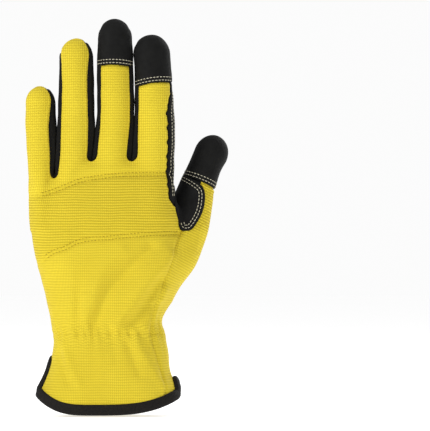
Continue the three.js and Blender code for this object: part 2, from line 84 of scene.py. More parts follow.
DIGIT_COLUMNS = ("z", "x", "y", "wide", "deep")
WEB = (131, [
    (74, 27, 3, 10, 17),
    (90, 34, 4, 12, 16),
    (104, 39, 5, 11, 13),
    (114, 41, 6, 9.4, 10.5),
    (122, 42.6, 7.5, 6.8, 8.4),
    (127, 43, 8, 4.4, 6.5),
])
FINGERS = {
    "little": (208, [
        (118, -40.6, 0, 7, 13),
        (140, -42.2, 0, 7.4, 12),
        (168, -42.5, 0.8, 9.2, 10.3),
        (184, -43, 2, 9.8, 9.8),
        (197, -43.1, 3.6, 9.3, 9.3),
    ]),
    "ring": (238.4, [
        (125, -22.6, 0, 11.4, 14),
        (150, -22.9, 0, 11.3, 12.6),
        (185, -20.2, 1.4, 11.7, 11.2),
        (206, -20.3, 3.3, 11.3, 10.9),
        (225.5, -20.2, 6, 10.5, 10.4),
    ]),
    "middle": (250.4, [
        (125, 1.2, 0, 12, 14.5),
        (150, 1.3, 0, 12.4, 13),
        (186, 4.3, 1.5, 11.9, 11.5),
        (207, 4.5, 3.4, 11.7, 11.2),
        (226, 4.2, 5.8, 11.5, 10.9),
        (237, 4, 7.4, 10.9, 10.4),
    ]),
    "index": (240.2, [
        (125, 27.9, 0, 12.5, 14),
        (150, 27.5, 0, 13.2, 12.8),
        (170, 28.8, 0.5, 13.1, 11.9),
        (190, 29.2, 1.5, 12.5, 11.4),
        (208, 28.4, 3.6, 11.8, 11.1),
        (228, 27.2, 6.3, 11.3, 10.6),
    ]),
}

THUMB_COLUMNS = ("along", "out", "wide", "deep")
THUMB_TIP = 113.7
THUMB = [
    (-12, -2, 10.5, 12),
    (0, 0.3, 12.2, 14),
    (15, 2.2, 12.8, 15),
    (32, 4.9, 14.1, 14.5),
    (48, 5, 14.1, 13),
    (62, 3.7, 13.1, 12),
    (73, 2.4, 11.9, 11.4),
    (84, 1.3, 10.7, 10.8),
    (94, 1.2, 10, 10.4),
    (101, 1.9, 10.2, 10.2),
]
FINGER_BLEND = 3  # how softly the fingers run into each other, the hand, the web and the thumb
HAND_BLEND = 5
WEB_BLEND = 6
THUMB_BLEND = 1.2  # at the crotch
THUMB_ROOT_BLEND = (116, 132, 3.8)  # below which heights it is softer, and how much
BODY_TOP_BLEND = 4
FINGERS_PART = (-2, 4)  # from and to these heights above the body's top

THUMB_ROOT = np.array((26, 5, 72.0))
THUMB_AXIS = np.array((0.366, 0.127, 0.922)) / np.linalg.norm((0.366, 0.127, 0.922))
THUMB_DEEP = np.array((0, 1, 0)) - THUMB_AXIS[1] * THUMB_AXIS
THUMB_DEEP /= np.linalg.norm(THUMB_DEEP)
THUMB_OUT = np.cross(THUMB_DEEP, THUMB_AXIS)

# Where the panels meet, nearly as in the solids

PARTING_ULNAR = 8.5  # how far the fabric back wraps round the hand's outer side
PARTING_LITTLE = 5.5  # and round the little finger
LITTLE_ROOT_Z = (132, 162)
LITTLE_SIDE_Z = (130, 150)  # where the outer side passes from the hand's to the little finger's
PARTING_FADE = (3, 13)  # from the outer side
CURL_FROM_Z = 150
CURL_OWN_Z = (165, 195)  # where each finger starts to curl on its own
GUSSET_BACK = 6.8  # at the finger roots
GUSSET_PALM = 5.6
GUSSET_FROM = 120
GUSSET_WIDENS_Z = (160, 185)
GUSSET_TAPER = 24
GUSSET_BLUNTNESS = 0.42
# The strips between the fingers. On each one's two fingers: its reach to the back and to the palm, and how
# far below the fingertip it ends.
GUSSETS = {
    "gusset_little_ring": ((7.6, 5.8, 0.8), (5.4, 8.4, 8)),
    "gusset_ring_middle": ((7.8, 6.4, 1.6), (5.8, 6.6, 4)),
    "gusset_middle_index": ((5.6, 6.4, 4), (5.6, 7, 4)),
}
SIDE_PANEL_Y = 8
THUMB_CAP_FROM = 82
THUMB_CAP_HALF = 12.5
THUMB_CAP_OUT = 1.5
MIDDLE_CAP_FROM = 221
INDEX_CAP_FROM = 209.5
CAP_ARCH = 1.2  # how much the middle of a cap's edge is higher than its ends
CAP_SLANT = {"middle": -0.3, "index": 1.5}
INDEX_STRIP_FROM, INDEX_STRIP_BACK, INDEX_STRIP_PALM = 133, -8.2, 8.4
INDEX_STRIP_SPREAD = (133, 158, 4.5)  # up to which heights it reaches further into the palm, and how far
INDEX_STRIP_TURN = (190, 209, 5)  # between which heights it draws away from the back, and how far
INDEX_STRIP_POINT = (131, 150, 12)  # up to which heights its lower end narrows, and how far
INDEX_STRIP_POINT_DEPTHS = (-2, 3)
INDEX_STRIP_WAVES = ((0.3, 0.72, 0), (0.25, 1.37, 1))  # along its edge: height, radians per mm, and start
PALM_HEM = ((-38, 64.5), (28.5, 72))
SLIT = ((2.5, 33), (12.5, -6), (-7.5, -6))
SLIT_TO_X = -15
RIM_LOW_X = -12
RIM_RISE = 13
RIM_STEEPEST = 1.3
RIM_ULNAR = (-47.5, 3)  # how far out each side is, and how late the edge rises to it
RIM_RADIAL = (49.5, 3.5)
SIDE_NOTCH = ((-4.5, 18), (4.5, 18), (15, -6), (-15, -6))  # in the cuff's thumb side
NOTCH_FROM_X = 15
WALL_END = 2.6  # how far in from the cuff's edge the wall ends, under the tape

# Seams and outlines as [x, z]
SIDE_SEAM_BACK = [
    (38, -8), (37, 12), (34.4, 26), (30.4, 40), (26.8, 54), (28.2, 66), (34, 79), (40.4, 98),
    (46.8, 116.5), (53, 132), (60, 149.5),
]
SIDE_SEAM_PALM = [
    (28.2, -8), (27.8, 12), (26.6, 28), (25.4, 42), (24.8, 56), (27.4, 69), (31.4, 81), (38, 94),
    (45.8, 109), (51.4, 120), (61.5, 145),
]
THUMB_FRONT_TOP = [(49, 166), (43, 152)]
THUMB_FRONT_BACK = [(41.9, 136.6), *SIDE_SEAM_BACK[-3:], *THUMB_FRONT_TOP]
THUMB_FRONT_PALM = [(35, 127.4), *SIDE_SEAM_PALM[-3:], *THUMB_FRONT_TOP, (41.6, 139)]
PALM_PATCH = [
    (-62, 68.5), (-40, 69.8), (-22, 72), (-12.6, 74.4), (-8.6, 79), (-7.4, 88), (-5, 100), (4, 114.6),
    (17, 129.6), (23.4, 142), (21, 153.4), (6, 159.4), (-20, 156.6), (-46, 150), (-62, 146.4),
]
HEEL_PATCH = [
    (-62, 85.6), (-46, 86.9), (-34, 88.6), (-27.6, 91.4), (-25.2, 98), (-21.2, 109), (-13.6, 122),
    (-9, 131.6), (-13, 138), (-26, 137.4), (-46, 132.4), (-62, 128.4),
]
SADDLE_PATCH = [
    (41.5, 137), (43.6, 124), (46.6, 116.6), (51.4, 116.4), (56.6, 122.4), (60.6, 133), (60, 143.6),
    (54, 148.6), (44, 152.6),
]
PATCH_FROM_Y = 5
PATCH_INSET = 0.6  # from the palm's outer edge
SADDLE_TO_Y = 14
TAB_MIDDLE_X = 13
TAB_FOOT = (7, 12, 1.1)  # up to which heights the pull tab's foot dips under the tape, and how far
PULL_TAB = [
    (6.2, 4), (6.6, 10.6), (7.8, 16.6), (11, 19.3), (16, 20.4), (21, 20.4), (22.4, 18.6), (20.9, 14),
    (19.6, 4),
]

# The quilting across the back of the hand, as lines of [x, z] from the little finger to the thumb
QUILT_UPPER = [
    (-52, 138.2), (-40.4, 139.5), (-33, 142), (-26.5, 144.6), (-19.8, 147.4), (-4, 150.4), (8, 151.6),
    (38, 152),
]
QUILT_LOWER = [
    (-48, 95.5), (-44.2, 96.6), (-34.3, 103), (-28.4, 104.8), (-19.8, 109.2), (1.9, 112), (17, 113.6),
    (44, 115),
]
QUILT_ROWS = 2.2  # between the two rows of one line
QUILT_GROOVE = (0.75, 0.75)  # depth and half width of each row's groove
QUILT_DIP = (0.7, 3.2)  # and of the softer dip round both
QUILT_PADDING = 0.35
QUILT_EDGE = (-0.5, 3)  # the padding rises over these distances past a line
QUILT_ON_BACK = (0, 4)  # the rows fade over these depths behind the parting
QUILT_SIDE_FADE = (1, 7)  # and over these widths from the outer side
QUILT_AT_SIDE = 0.25  # what is left of them there

# Soft folds of the cloth: a line of [x, z], half the fold's width, and its height, below zero if it sinks
BACK_FOLDS = [
    ([(9, 104), (-4, 90), (-10, 74), (-12, 64)], 4.4, 1.8),
    ([(27, 106), (12, 91), (1, 77.6), (-5, 65), (-8, 57)], 3.8, -2.1),
    ([(39, 101), (26, 85.2), (16, 72.6), (6, 57.4)], 4.2, 2.6),
    ([(34, 85), (25.6, 72.6), (16, 58)], 3.4, -1.6),
    ([(36, 78), (30.3, 67.6), (23, 55)], 3.2, 1.4),
    ([(-22, 88), (-23.4, 76), (-24.4, 60)], 2.6, 0.55),
    ([(-17.8, 80), (-19.8, 60)], 2.0, -0.45),
    ([(-13.3, 76), (-15.8, 59)], 2.2, 0.5),
    ([(-28.4, 44.8), (-24, 33.5), (-18, 20)], 2.8, 1.0),
    ([(-31, 38), (-25.4, 20.8)], 2.4, -0.8),
    ([(16.4, 47.3), (24.6, 34.7), (34.7, 18.3)], 3, 1.0),
    ([(12.6, 45), (20, 25.9)], 2.6, -0.8),
    ([(3, 46), (5, 34)], 2.4, -0.5),
    ([(31, 44.8), (35, 24)], 2.2, -0.5),
]
PALM_FOLDS = [
    ([(34.5, 128), (24, 124), (9, 117.5)], 1.3, -1.4),
    ([(34.5, 127), (26, 119.6), (14, 110)], 1.3, -1.3),
    ([(35, 126), (30.5, 116), (28, 104)], 1.4, -1.1),
    ([(31, 126.6), (20, 121)], 1.6, 0.7),
    ([(31, 122), (22, 112), (17, 104)], 2.4, 0.9),
    ([(34, 119), (33, 106)], 2, 0.6),
    ([(-20, 46), (-21.4, 28)], 2.6, 0.7),
    ([(-13, 47), (-12, 30)], 2.4, -0.6),
    ([(-2, 47), (-1, 27)], 3, 0.7),
    ([(14, 46), (16, 30)], 2.6, -0.6),
    ([(23, 45), (29, 24)], 2.8, 0.8),
    ([(-29, 45), (-33, 26)], 2.6, 0.7),
]
FOLDS_FADE = (4, 13)  # from the glove's middle plane: none up to the first, and full from the second

# Sewn lines on the palm side, as [x, z]
STRIP_ROW = [(39, 204), (40.3, 190), (40.5, 170), (39.9, 156), (38.6, 144), (36.6, 134.4)]
THUMB_SEAM = ((35.6, 127.2), (40.4, 118.6), (45.6, 109.4))
BAR_TACK = (
    ((33.4, 134), (33.9, 127)),
    ((37.4, 133.4), (37.6, 127)),
    ((33.4, 133.6), (37.4, 132.8)),
    ((33.7, 128.2), (37.6, 127.6)),
)
# The rows of stitches: how far each lies inside its outline, its seam or its piece's edge
PALM_PATCH_ROWS = (0.9, 2.6)
HEEL_PATCH_ROWS = (1.3, 3)
SADDLE_ROWS = (1.8, 3.6)
THUMB_SEAM_ROWS = (-1, -2.7)
CAP_ROWS = (1.1, 3.1)
CAP_ROW_TURN = 1.45  # how far round a finger they run to each side, in radians
STRIP_SIDE_ROWS = (2.1, 4.6)
STRIP_SIDE_TURN = (188, 207, 4)  # between which heights they draw away from the back, and how far
STRIP_PALM_ROWS = (0, 1.8)
HEM_INSET = 0.9
STITCHES_FROM_EDGE = 1.2  # where a row ends at the palm's outer edge
STITCH_PITCH = 2.2
STITCH_SIZE = (1.6, 0.25)  # length and half thickness
QUILT_STITCH_SIZE = (1.2, 0.24)
STITCH_LIFT = 0.1
STRIP_ROW_ENDS = 5  # short of the strip's ends
ROW_STEP = 0.5  # between the points that a row is laid through
TACK_STEP = 0.4
# How far out a row's points start on their way to the cloth: from the glove's middle plane, from the thumb's
# centre line and from the forefinger's side
FACE_RAY = 90.0
THUMB_RAY = 15
SIDE_RAY = 1.5

# The elastic at the wrist
ELASTIC_ROWS = (51.6, 58)  # the lines of stitching that hold it, the second on the palm side only
WRIST_RADIUS = 29
WRIST_FLATNESS = 1.5  # how much wider than deep it is
GATHER_PITCH = 5.2  # between the small folds that the elastic draws
GATHER_HEIGHT = 0.56
GATHER_REACH = 4.6  # from each line of stitching
SECOND_ROW_Y = (4, 12)
DIMPLE = (0.55, 0.25, 0.8)  # the depth of a line of stitching, how much that varies, and half its width
DIMPLED_Y = (4, 14)  # the lines are shallower on the wrist's sides, up to these depths
WRIST_FOLD_PITCH = 1.9 * GATHER_PITCH
WRIST_FOLD_HEIGHT = 0.38
WRIST_FOLD_REACH = (18, 22)  # up and down
RIPPLE = 0.6  # how far the ribs wave up and down
RIPPLE_PITCHES = (7.2, 3.3)
RIPPLE_REACH = 8

# Two fingers touch near their roots: from where, up to where between each two, and over what they part
TOUCH_FROM = (150, 158)
TOUCH_TO = (180, 180, 187)
TOUCH_FADE = 10
TOUCH_GAP = (0.9, 2.4)  # cloth up to this far from a gap's middle swells to close it
TOUCH_CLEARANCE = 0.03

# Across a seam: how far out the cloth comes, how far from the seam that is, and half its width
SEWN_SEAM = ((-0.95, 0, 1), (-0.35, 0, 4), (0.38, 2.3, 1))
LAPPED_SEAM = ((-0.35, 0, 0.8),)
SEAM_REACH = 8.0
SOFT_SEAM = 0.5  # how much softer the fabric's seam down the thumb side is, and where that is
SOFT_SEAM_X = (12, 20)
SOFT_SEAM_Z = (95, 120)
EDGE_HIGHLIGHT_BAND = (0.7, 0.38)  # a painted highlight along the turned edge of a strip between fingers: its middle and half width from the seam
EDGE_HIGHLIGHT_Y = (1, 5)
# How far a piece lies above its neighbours, where it does
LIFTS = {
    "palm_patch": 0.9,
    "heel_patch": 1.7,
    "saddle_patch": 0.9,
    "pull_tab": 1.6,
    "thumb_cap": 0.45,
    "middle_cap": 0.45,
    "index_cap": 0.45,
    "index_side_strip": 0.05,
}
THUMB_RIBS_Z = (62, 92)  # where the side panel's ribs turn square to the thumb
THUMB_RIBS_START = 70
SIDE_WALES_X = (4, 16, 0.8)  # where the wales are spread round the hand's sides, and how widely
SIDE_WALES_Z = (118, 150)

# The tape's section: how far out from the cloth's face, and how far in from the cuff's edge
TAPE_SECTION = [
    (0.2, 7.0), (0.75, 6.4), (1.0, 5.0), (1.1, 2.8), (1.0, 1.6), (0.65, 0.7), (-0.1, 0.2), (-0.9, 0.1),
    (-1.7, 0.4), (-2.2, 1.1), (-2.35, 2.4), (-2.3, 4.6), (-2.1, 6.0), (-1.6, 6.7),
]
TAPE_STEP = 1.1  # between its rings, and between its ribs
TAPE_UNDULATION = 0.5  # of what the cloth has
TAPE_OPENINGS = (1.5, 7, 1.1)  # between which heights above the rim it gets thicker, and how much
TAPE_BY_TAB = (8, 0.9)  # how near to the pull tab it does too, and by how much


# Helpers


def smoothstep(value, low, high, height=1.0):
    """Rises smoothly from zero up to low to the height from high on."""
    t = np.clip((value - low) / (high - low), 0, 1)
    return height * (t * t * (3 - 2 * t))


def fall(value, low, high, height=1.0):
    """The same downwards: the height up to low, and zero from high on."""
    return height * (1 - smoothstep(value, low, high))


def smooth_min(a, b, width):
    h = np.clip(0.5 + 0.5 * (b - a) / width, 0, 1)
    return b * (1 - h) + a * h - width * h * (1 - h)


def bell(distance, width):
    return np.exp(-((distance / width) ** 2))


class Table:
    """Rows with named columns. at() reads a column on a smooth curve through the rows."""

    def __init__(self, columns, rows):
        values = np.array(rows, float)
        key = values[:, 0]
        self.dense = np.linspace(key[0], key[-1], 500)
        segment = np.clip(np.searchsorted(key, self.dense) - 1, 0, len(key) - 2)
        span = key[segment + 1] - key[segment]
        t = (self.dense - key[segment]) / span
        self.columns = {}
        for name, column in zip(columns, values.T):
            slope = np.gradient(column, key)
            start, end = column[segment], column[segment + 1]
            leaving, arriving = slope[segment] * span, slope[segment + 1] * span
            self.columns[name] = (
                (2 * t**3 - 3 * t**2 + 1) * start
                + (t**3 - 2 * t**2 + t) * leaving
                + (3 * t**2 - 2 * t**3) * end
                + (t**3 - t**2) * arriving
            )

    def at(self, name, key):
        return np.interp(key, self.dense, self.columns[name])


def unit(vectors):
    return vectors / np.maximum(np.linalg.norm(vectors, axis=1, keepdims=True), 1e-6)


def lengths_along(line):
    """The distance from a line's start to each of its points."""
    return np.concatenate([[0], np.cumsum(np.linalg.norm(np.diff(line, axis=0), axis=1))])


def points_at(line, key, at):
    """Points, or normals, at given distances along a line."""
    return np.column_stack([np.interp(at, key, column) for column in line.T])


def smoothed(loop, times):
    for _ in range(times):
        loop = (np.roll(loop, 1, axis=0) + 2 * loop + np.roll(loop, -1, axis=0)) / 4
    return loop


def rounded(points, steps=4):
    """A smooth line through the points of a coarse one."""
    points = np.array(points, float)
    key = lengths_along(points)
    table = Table(("key", "x", "z"), np.column_stack([key, points]))
    at = np.linspace(0, key[-1], steps * (len(points) - 1) + 1)
    return np.column_stack([table.at("x", at), table.at("z", at)])


def rounded_outline(points, steps=6):
    """A smooth closed outline through the points of a coarse one."""
    ring = np.vstack([points[-3:], points, points[:4]])
    line = rounded(ring, steps)
    return line[3 * steps:(3 + len(points)) * steps]


def inside_all(*fields):
    """The field of what lies inside every one of some fields."""
    return reduce(np.maximum, fields)


def line_distance(x, z, line):
    """Distance to a line of points in the plane."""
    best = np.full(x.shape, 1e9)
    for (x0, z0), (x1, z1) in zip(line[:-1], line[1:]):
        dx, dz = x1 - x0, z1 - z0
        t = np.clip(((x - x0) * dx + (z - z0) * dz) / (dx * dx + dz * dz + 1e-12), 0, 1)
        best = np.minimum(best, np.hypot(x - x0 - t * dx, z - z0 - t * dz))
    return best


def outline_distance(x, z, outline):
    """Signed distance to a closed outline, below zero inside."""
    closed = np.vstack([outline, outline[:1]])
    inside = np.zeros(x.shape, bool)
    for (x0, z0), (x1, z1) in zip(closed[:-1], closed[1:]):
        if z0 == z1:
            continue
        crosses = (z0 > z) != (z1 > z)
        inside ^= crosses & (x < x0 + (z - z0) * (x1 - x0) / (z1 - z0))
    distance = line_distance(x, z, closed)
    return np.where(inside, -distance, distance)


# The glove's form as a field: below zero inside, and about the distance from its surface

BODY_TABLE = Table(BODY_COLUMNS, BODY)
FINGER_TABLES = {name: Table(DIGIT_COLUMNS, rows) for name, (_, rows) in FINGERS.items()}
FINGER_TIPS = {name: tip for name, (tip, _) in FINGERS.items()}
WEB_TABLE = Table(DIGIT_COLUMNS, WEB[1])
THUMB_TABLE = Table(THUMB_COLUMNS, THUMB)
FINGER_ORDER = list(FINGERS)


def body_field(p):
    """The hand's body, and the height above its top."""
    x, y, z = p.T
    row = z
    lower = smoothstep(-x, -DROP_FROM_X, -DROP_TO_X)
    for _ in range(3):
        row = z + BODY_TABLE.at("drop", row) * lower - BODY_TABLE.at("tilt", row) * y
    reach_x = np.where(x > 0, BODY_TABLE.at("radial", row), BODY_TABLE.at("ulnar", row))
    reach_y = np.where(y > 0, BODY_TABLE.at("palm", row), BODY_TABLE.at("back", row))
    n = BODY_SQUARENESS
    q = (np.abs(x / reach_x) ** n + np.abs(y / reach_y) ** n) ** (1 / n)
    r = np.hypot(x, y)
    side = r - r / np.maximum(q, 1e-3)
    above = row - BODY[-1][0]
    return -smooth_min(-side, -above, BODY_TOP_BLEND), above


def rod_field(table, tip, along, a, b):
    """A digit's field, from the way along it and the offsets a and b from its centre line."""
    wide, deep = table.at("wide", along), table.at("deep", along)
    first, last = table.dense[[0, -1]]
    height = tip - last
    up = np.maximum(along - last, 0) / height
    square = (a / wide) ** 2 + (b / deep) ** 2 + up**2
    slope = np.sqrt((a / wide**2) ** 2 + (b / deep**2) ** 2 + (up / height) ** 2)
    return np.maximum((square - 1) / (2 * np.maximum(slope, 1e-3)), first - along)


def digit_field(p, tip, table):
    x, y, z = p.T
    return rod_field(table, tip, z, x - table.at("x", z), y - table.at("y", z))


def thumb_coordinates(p):
    local = p - THUMB_ROOT
    return local @ THUMB_AXIS, local @ THUMB_OUT, local @ THUMB_DEEP


def thumb_field(p):
    along, out, deep = thumb_coordinates(p)
    return rod_field(THUMB_TABLE, THUMB_TIP, along, out - THUMB_TABLE.at("out", along), deep)


def between_fingers(k, z):
    """The x of the gap between finger k and the next."""
    left, right = (FINGER_TABLES[name] for name in FINGER_ORDER[k:k + 2])
    return (left.at("x", z) + left.at("wide", z) + right.at("x", z) - right.at("wide", z)) / 2


def form_parts(p):
    """The field of the whole form, the height above the finger roots, and the distance from a finger gap."""
    x, z = p[:, 0], p[:, 2]
    body, above = body_field(p)
    fingers = np.stack([digit_field(p, FINGER_TIPS[name], FINGER_TABLES[name]) for name in FINGER_ORDER])
    gaps = np.stack([x - between_fingers(k, z) for k in range(3)])
    own = np.take_along_axis(fingers, (gaps > 0).sum(axis=0)[None], axis=0)[0]
    together = fingers[0]
    for one in fingers[1:]:
        together = smooth_min(together, one, FINGER_BLEND)
    parted = smoothstep(above, *FINGERS_PART)
    whole = smooth_min(body, own * parted + together * (1 - parted), HAND_BLEND)
    whole = smooth_min(whole, digit_field(p, WEB[0], WEB_TABLE), WEB_BLEND)
    whole = smooth_min(whole, thumb_field(p), THUMB_BLEND + fall(z, *THUMB_ROOT_BLEND))
    return whole, above, np.abs(gaps).min(axis=0)


def form(p):
    return form_parts(p)[0]


def slope_at(p):
    offsets = SLOPE_STEP * np.eye(3)
    return np.column_stack([(form(p + offset) - form(p - offset)) / (2 * SLOPE_STEP) for offset in offsets])


def normals_at(p):
    return unit(slope_at(p))


# A fine triangle mesh of the form


def grid_values(xs, ys, zs):
    """The field on a grid, with the gaps between the fingers widened so that the grid can hold them."""
    half_gap = 1.1 * CELL
    values = np.empty((len(xs), len(ys), len(zs)), np.float32)
    for start in range(0, len(zs), LAYERS_AT_ONCE):
        part = zs[start:start + LAYERS_AT_ONCE]
        p = np.stack(np.meshgrid(xs, ys, part, indexing="ij"), axis=-1).reshape(-1, 3)
        whole, above, gap = form_parts(p)
        cut = np.minimum(half_gap - gap, above)
        values[:, :, start:start + len(part)] = np.maximum(whole, cut).reshape(len(xs), len(ys), -1)
    return values


def surface_net(values, xs, ys, zs):
    """One point in each cell that the surface crosses, and a quad round each crossed edge of the grid."""
    inside = values < 0
    cells = tuple(n - 1 for n in values.shape)
    total = np.zeros(cells + (3,), np.float32)
    count = np.zeros(cells, np.int16)
    crossings = []
    for axis in range(3):
        step = np.eye(3, dtype=int)[axis]
        u, v = np.delete(np.eye(3, dtype=int), axis, axis=0)
        low = inside[tuple(slice(None, -1) if on else slice(None) for on in step)]
        high = inside[tuple(slice(1, None) if on else slice(None) for on in step)]
        crossed = np.argwhere(low != high)
        before, after = values[tuple(crossed.T)], values[tuple((crossed + step).T)]
        point = crossed.astype(np.float32)
        point[:, axis] += before / (before - after)
        around = crossed + np.array([0 * u, -u, -u - v, -v])[:, None]
        kept = ((around >= 0) & (around < cells)).all(axis=(0, 2))
        around = around[:, kept]
        places = tuple(around.reshape(-1, 3).T)
        np.add.at(total, places, np.tile(point[kept], (4, 1)))
        np.add.at(count, places, 1)
        outwards = inside[tuple(crossed.T)] ^ (axis == 1)
        crossings.append((around, outwards[kept]))
    used = count > 0
    number = np.full(cells, -1)
    number[used] = np.arange(used.sum())
    points = total[used] / count[used][:, None]
    scale = np.array([xs[1] - xs[0], ys[1] - ys[0], zs[1] - zs[0]])
    points = points * scale + (xs[0], ys[0], zs[0])
    quads = []
    for around, outwards in crossings:
        quad = number[tuple(around.T)]
        quads.append(np.where(outwards[:, None], quad, quad[:, ::-1]))
    return points, np.concatenate(quads)


def form_mesh():
    """The form's surface as points and triangles."""
    xs, ys, zs = [np.arange(low, high, CELL) for low, high in GRID_RANGES]
    points, quads = surface_net(grid_values(xs, ys, zs), xs, ys, zs)
    for _ in range(4):
        slope = slope_at(points)
        square = np.maximum((slope**2).sum(axis=1), 0.05)
        move = (form(points) / square)[:, None] * slope
        length = np.linalg.norm(move, axis=1, keepdims=True)
        points = points - move * np.minimum(1, CELL / np.maximum(length, 1e-9))
    a, b, c, d = quads.T
    short = np.linalg.norm(points[a] - points[c], axis=1) < np.linalg.norm(points[b] - points[d], axis=1)
    first = np.where(short[:, None], np.column_stack([a, b, c]), np.column_stack([a, b, d]))
    second = np.where(short[:, None], np.column_stack([a, c, d]), np.column_stack([b, c, d]))
    return points, np.concatenate([first, second])


def tidy_mesh(points, triangles):
    used, numbers = np.unique(triangles, return_inverse=True)
    return points[used], numbers.reshape(-1, 3)


def part_mesh(mesh, field):
    """Cuts a mesh where a field is zero, into the side below zero and the side above."""
    points, triangles = mesh
    value = field(points)
    value = np.where(np.abs(value) < 1e-4, 1e-4, value)
    below = value < 0
    number = below[triangles].sum(axis=1)
    crossed = triangles[(number == 1) | (number == 2)]
    lone_below = below[crossed].sum(axis=1) == 1
    lone = np.argmax(below[crossed] == lone_below[:, None], axis=1)
    turn = (lone[:, None] + np.arange(3)) % 3
    a, b, c = np.take_along_axis(crossed, turn, axis=1).T
    edges = np.sort(np.concatenate([np.column_stack([a, b]), np.column_stack([a, c])]), axis=1)
    unique, which = np.unique(edges, axis=0, return_inverse=True)
    which = which.reshape(-1)
    start, end = value[unique[:, 0]], value[unique[:, 1]]
    share = (start / (start - end))[:, None]
    new = points[unique[:, 0]] * (1 - share) + points[unique[:, 1]] * share
    ab, ac = len(points) + which[:len(a)], len(points) + which[len(a):]
    tip = np.column_stack([a, ab, ac])
    rest = np.concatenate([np.column_stack([ab, b, c]), np.column_stack([ab, c, ac])])
    rest_below = np.concatenate([~lone_below, ~lone_below])
    all_points = np.concatenate([points, new])
    under = np.concatenate([triangles[number == 3], tip[lone_below], rest[rest_below]])
    over = np.concatenate([triangles[number == 0], tip[~lone_below], rest[~rest_below]])
    return tidy_mesh(all_points, under), tidy_mesh(all_points, over)


def boundary_edges(triangles):
    """The edges that only one triangle has, in that triangle's direction."""
    edges = np.concatenate([triangles[:, [0, 1]], triangles[:, [1, 2]], triangles[:, [2, 0]]])
    _, first, number = np.unique(np.sort(edges, axis=1), axis=0, return_index=True, return_counts=True)
    return edges[first[number == 1]]


def edge_points(mesh):
    points, triangles = mesh
    return points[np.unique(boundary_edges(triangles))]


# The regions of the panels: each field is below zero inside its panel


def curl(x, z):
    """The depth of the fingers' centre lines: one for all at their roots, each finger's own further up."""
    high = np.maximum(z, CURL_FROM_Z)
    depths = np.stack([FINGER_TABLES[name].at("y", high) for name in FINGER_ORDER])
    finger = np.sum([x > between_fingers(k, z) for k in range(3)], axis=0)
    own = np.take_along_axis(depths, finger[None], axis=0)[0]
    share = smoothstep(z, *CURL_OWN_Z)
    return depths[FINGER_ORDER.index("middle")] * (1 - share) + own * share


def ulnar_edge(z):
    little = FINGER_TABLES["little"]
    share = smoothstep(z, *LITTLE_SIDE_Z)
    return -BODY_TABLE.at("ulnar", z) * (1 - share) + (little.at("x", z) - little.at("wide", z)) * share


def parting(x, z):
    """The depth at which the back and the palm halves meet."""
    wrap = PARTING_ULNAR + (PARTING_LITTLE - PARTING_ULNAR) * smoothstep(z, *LITTLE_ROOT_Z)
    return curl(x, z) + wrap * fall(x - ulnar_edge(z), *PARTING_FADE)


def back_region(p):
    return p[:, 1] - parting(p[:, 0], p[:, 2])


def palm_region(p):
    return -back_region(p)


def thumb_cap_region(p):
    along, out, _ = thumb_coordinates(p)
    return np.maximum(THUMB_CAP_FROM - along, np.abs(out - THUMB_CAP_OUT) - THUMB_CAP_HALF)


def two_sided(p, back, palm, depth):
    x, y, z = p.T
    on_back = np.maximum(outline_distance(x, z, back), y - depth)
    on_palm = np.maximum(outline_distance(x, z, palm), depth - y)
    return np.minimum(on_back, on_palm)


def side_panel_region(p):
    right = [(FAR, 160), (FAR, -8)]
    back = np.vstack([rounded(SIDE_SEAM_BACK), right])
    palm = np.vstack([rounded(SIDE_SEAM_PALM), right])
    return two_sided(p, back, palm, SIDE_PANEL_Y)


def thumb_front_region(p):
    return two_sided(p, np.array(THUMB_FRONT_BACK), np.array(THUMB_FRONT_PALM), 0)


def index_strip_region(p):
    x, y, z = p.T
    depth = y - curl(x, z)
    waves = sum(height * np.sin(z * turns + start) for height, turns, start in INDEX_STRIP_WAVES)
    back = INDEX_STRIP_BACK + smoothstep(z, *INDEX_STRIP_TURN) + waves
    palm = INDEX_STRIP_PALM + fall(z, *INDEX_STRIP_SPREAD)
    across = np.maximum(back - depth, depth - palm)
    up = np.maximum(INDEX_STRIP_FROM - z, z - cap_edge("index", INDEX_CAP_FROM, x))
    pointed = fall(z, *INDEX_STRIP_POINT) * smoothstep(-depth, *INDEX_STRIP_POINT_DEPTHS)
    from_x = FINGER_TABLES["index"].at("x", z) + 2 + pointed
    return inside_all(across, up, from_x - x)


def gusset_region(p, k, sides):
    """The strip between finger k and the next, narrowing to a point near each fingertip."""
    x, y, z = p.T
    left, right = FINGER_ORDER[k:k + 2]
    on_left = x < between_fingers(k, z)
    full_back, full_palm, below_tip = (np.where(on_left, a, b) for a, b in zip(*sides))
    end = np.where(on_left, FINGER_TIPS[left], FINGER_TIPS[right]) - below_tip
    share = smoothstep(z, *GUSSET_WIDENS_Z)
    back = GUSSET_BACK * (1 - share) + full_back * share
    palm = GUSSET_PALM * (1 - share) + full_palm * share
    reach = np.clip((end - z) / GUSSET_TAPER, 0, 1) ** GUSSET_BLUNTNESS
    depth = y - curl(x, z)
    across = np.maximum(-back * reach - depth, depth - palm * reach)
    past_left, past_right = FINGER_TABLES[left].at("x", z) + 1 - x, x - FINGER_TABLES[right].at("x", z) + 1
    return inside_all(across, past_left, past_right, z - end, GUSSET_FROM - z)


def cap_edge(name, start, x):
    """The height of a fingertip cap's edge, which arches a little and is higher towards the thumb."""
    table = FINGER_TABLES[name]
    across = (x - table.at("x", start)) / table.at("wide", start)
    return start + CAP_ARCH * (0.5 - across ** 2) + CAP_SLANT[name] * across


def cap_region(p, name, start):
    x, y, z = p.T
    table = FINGER_TABLES[name]
    beside = np.abs(x - table.at("x", z)) - table.at("wide", z) - 1
    return inside_all(cap_edge(name, start, x) - z, y - curl(x, z), beside)


def cuff_front_region(p):
    (x0, z0), (x1, z1) = PALM_HEM
    hem = z0 + (p[:, 0] - x0) * (z1 - z0) / (x1 - x0)
    return np.maximum(p[:, 2] - hem, palm_region(p))


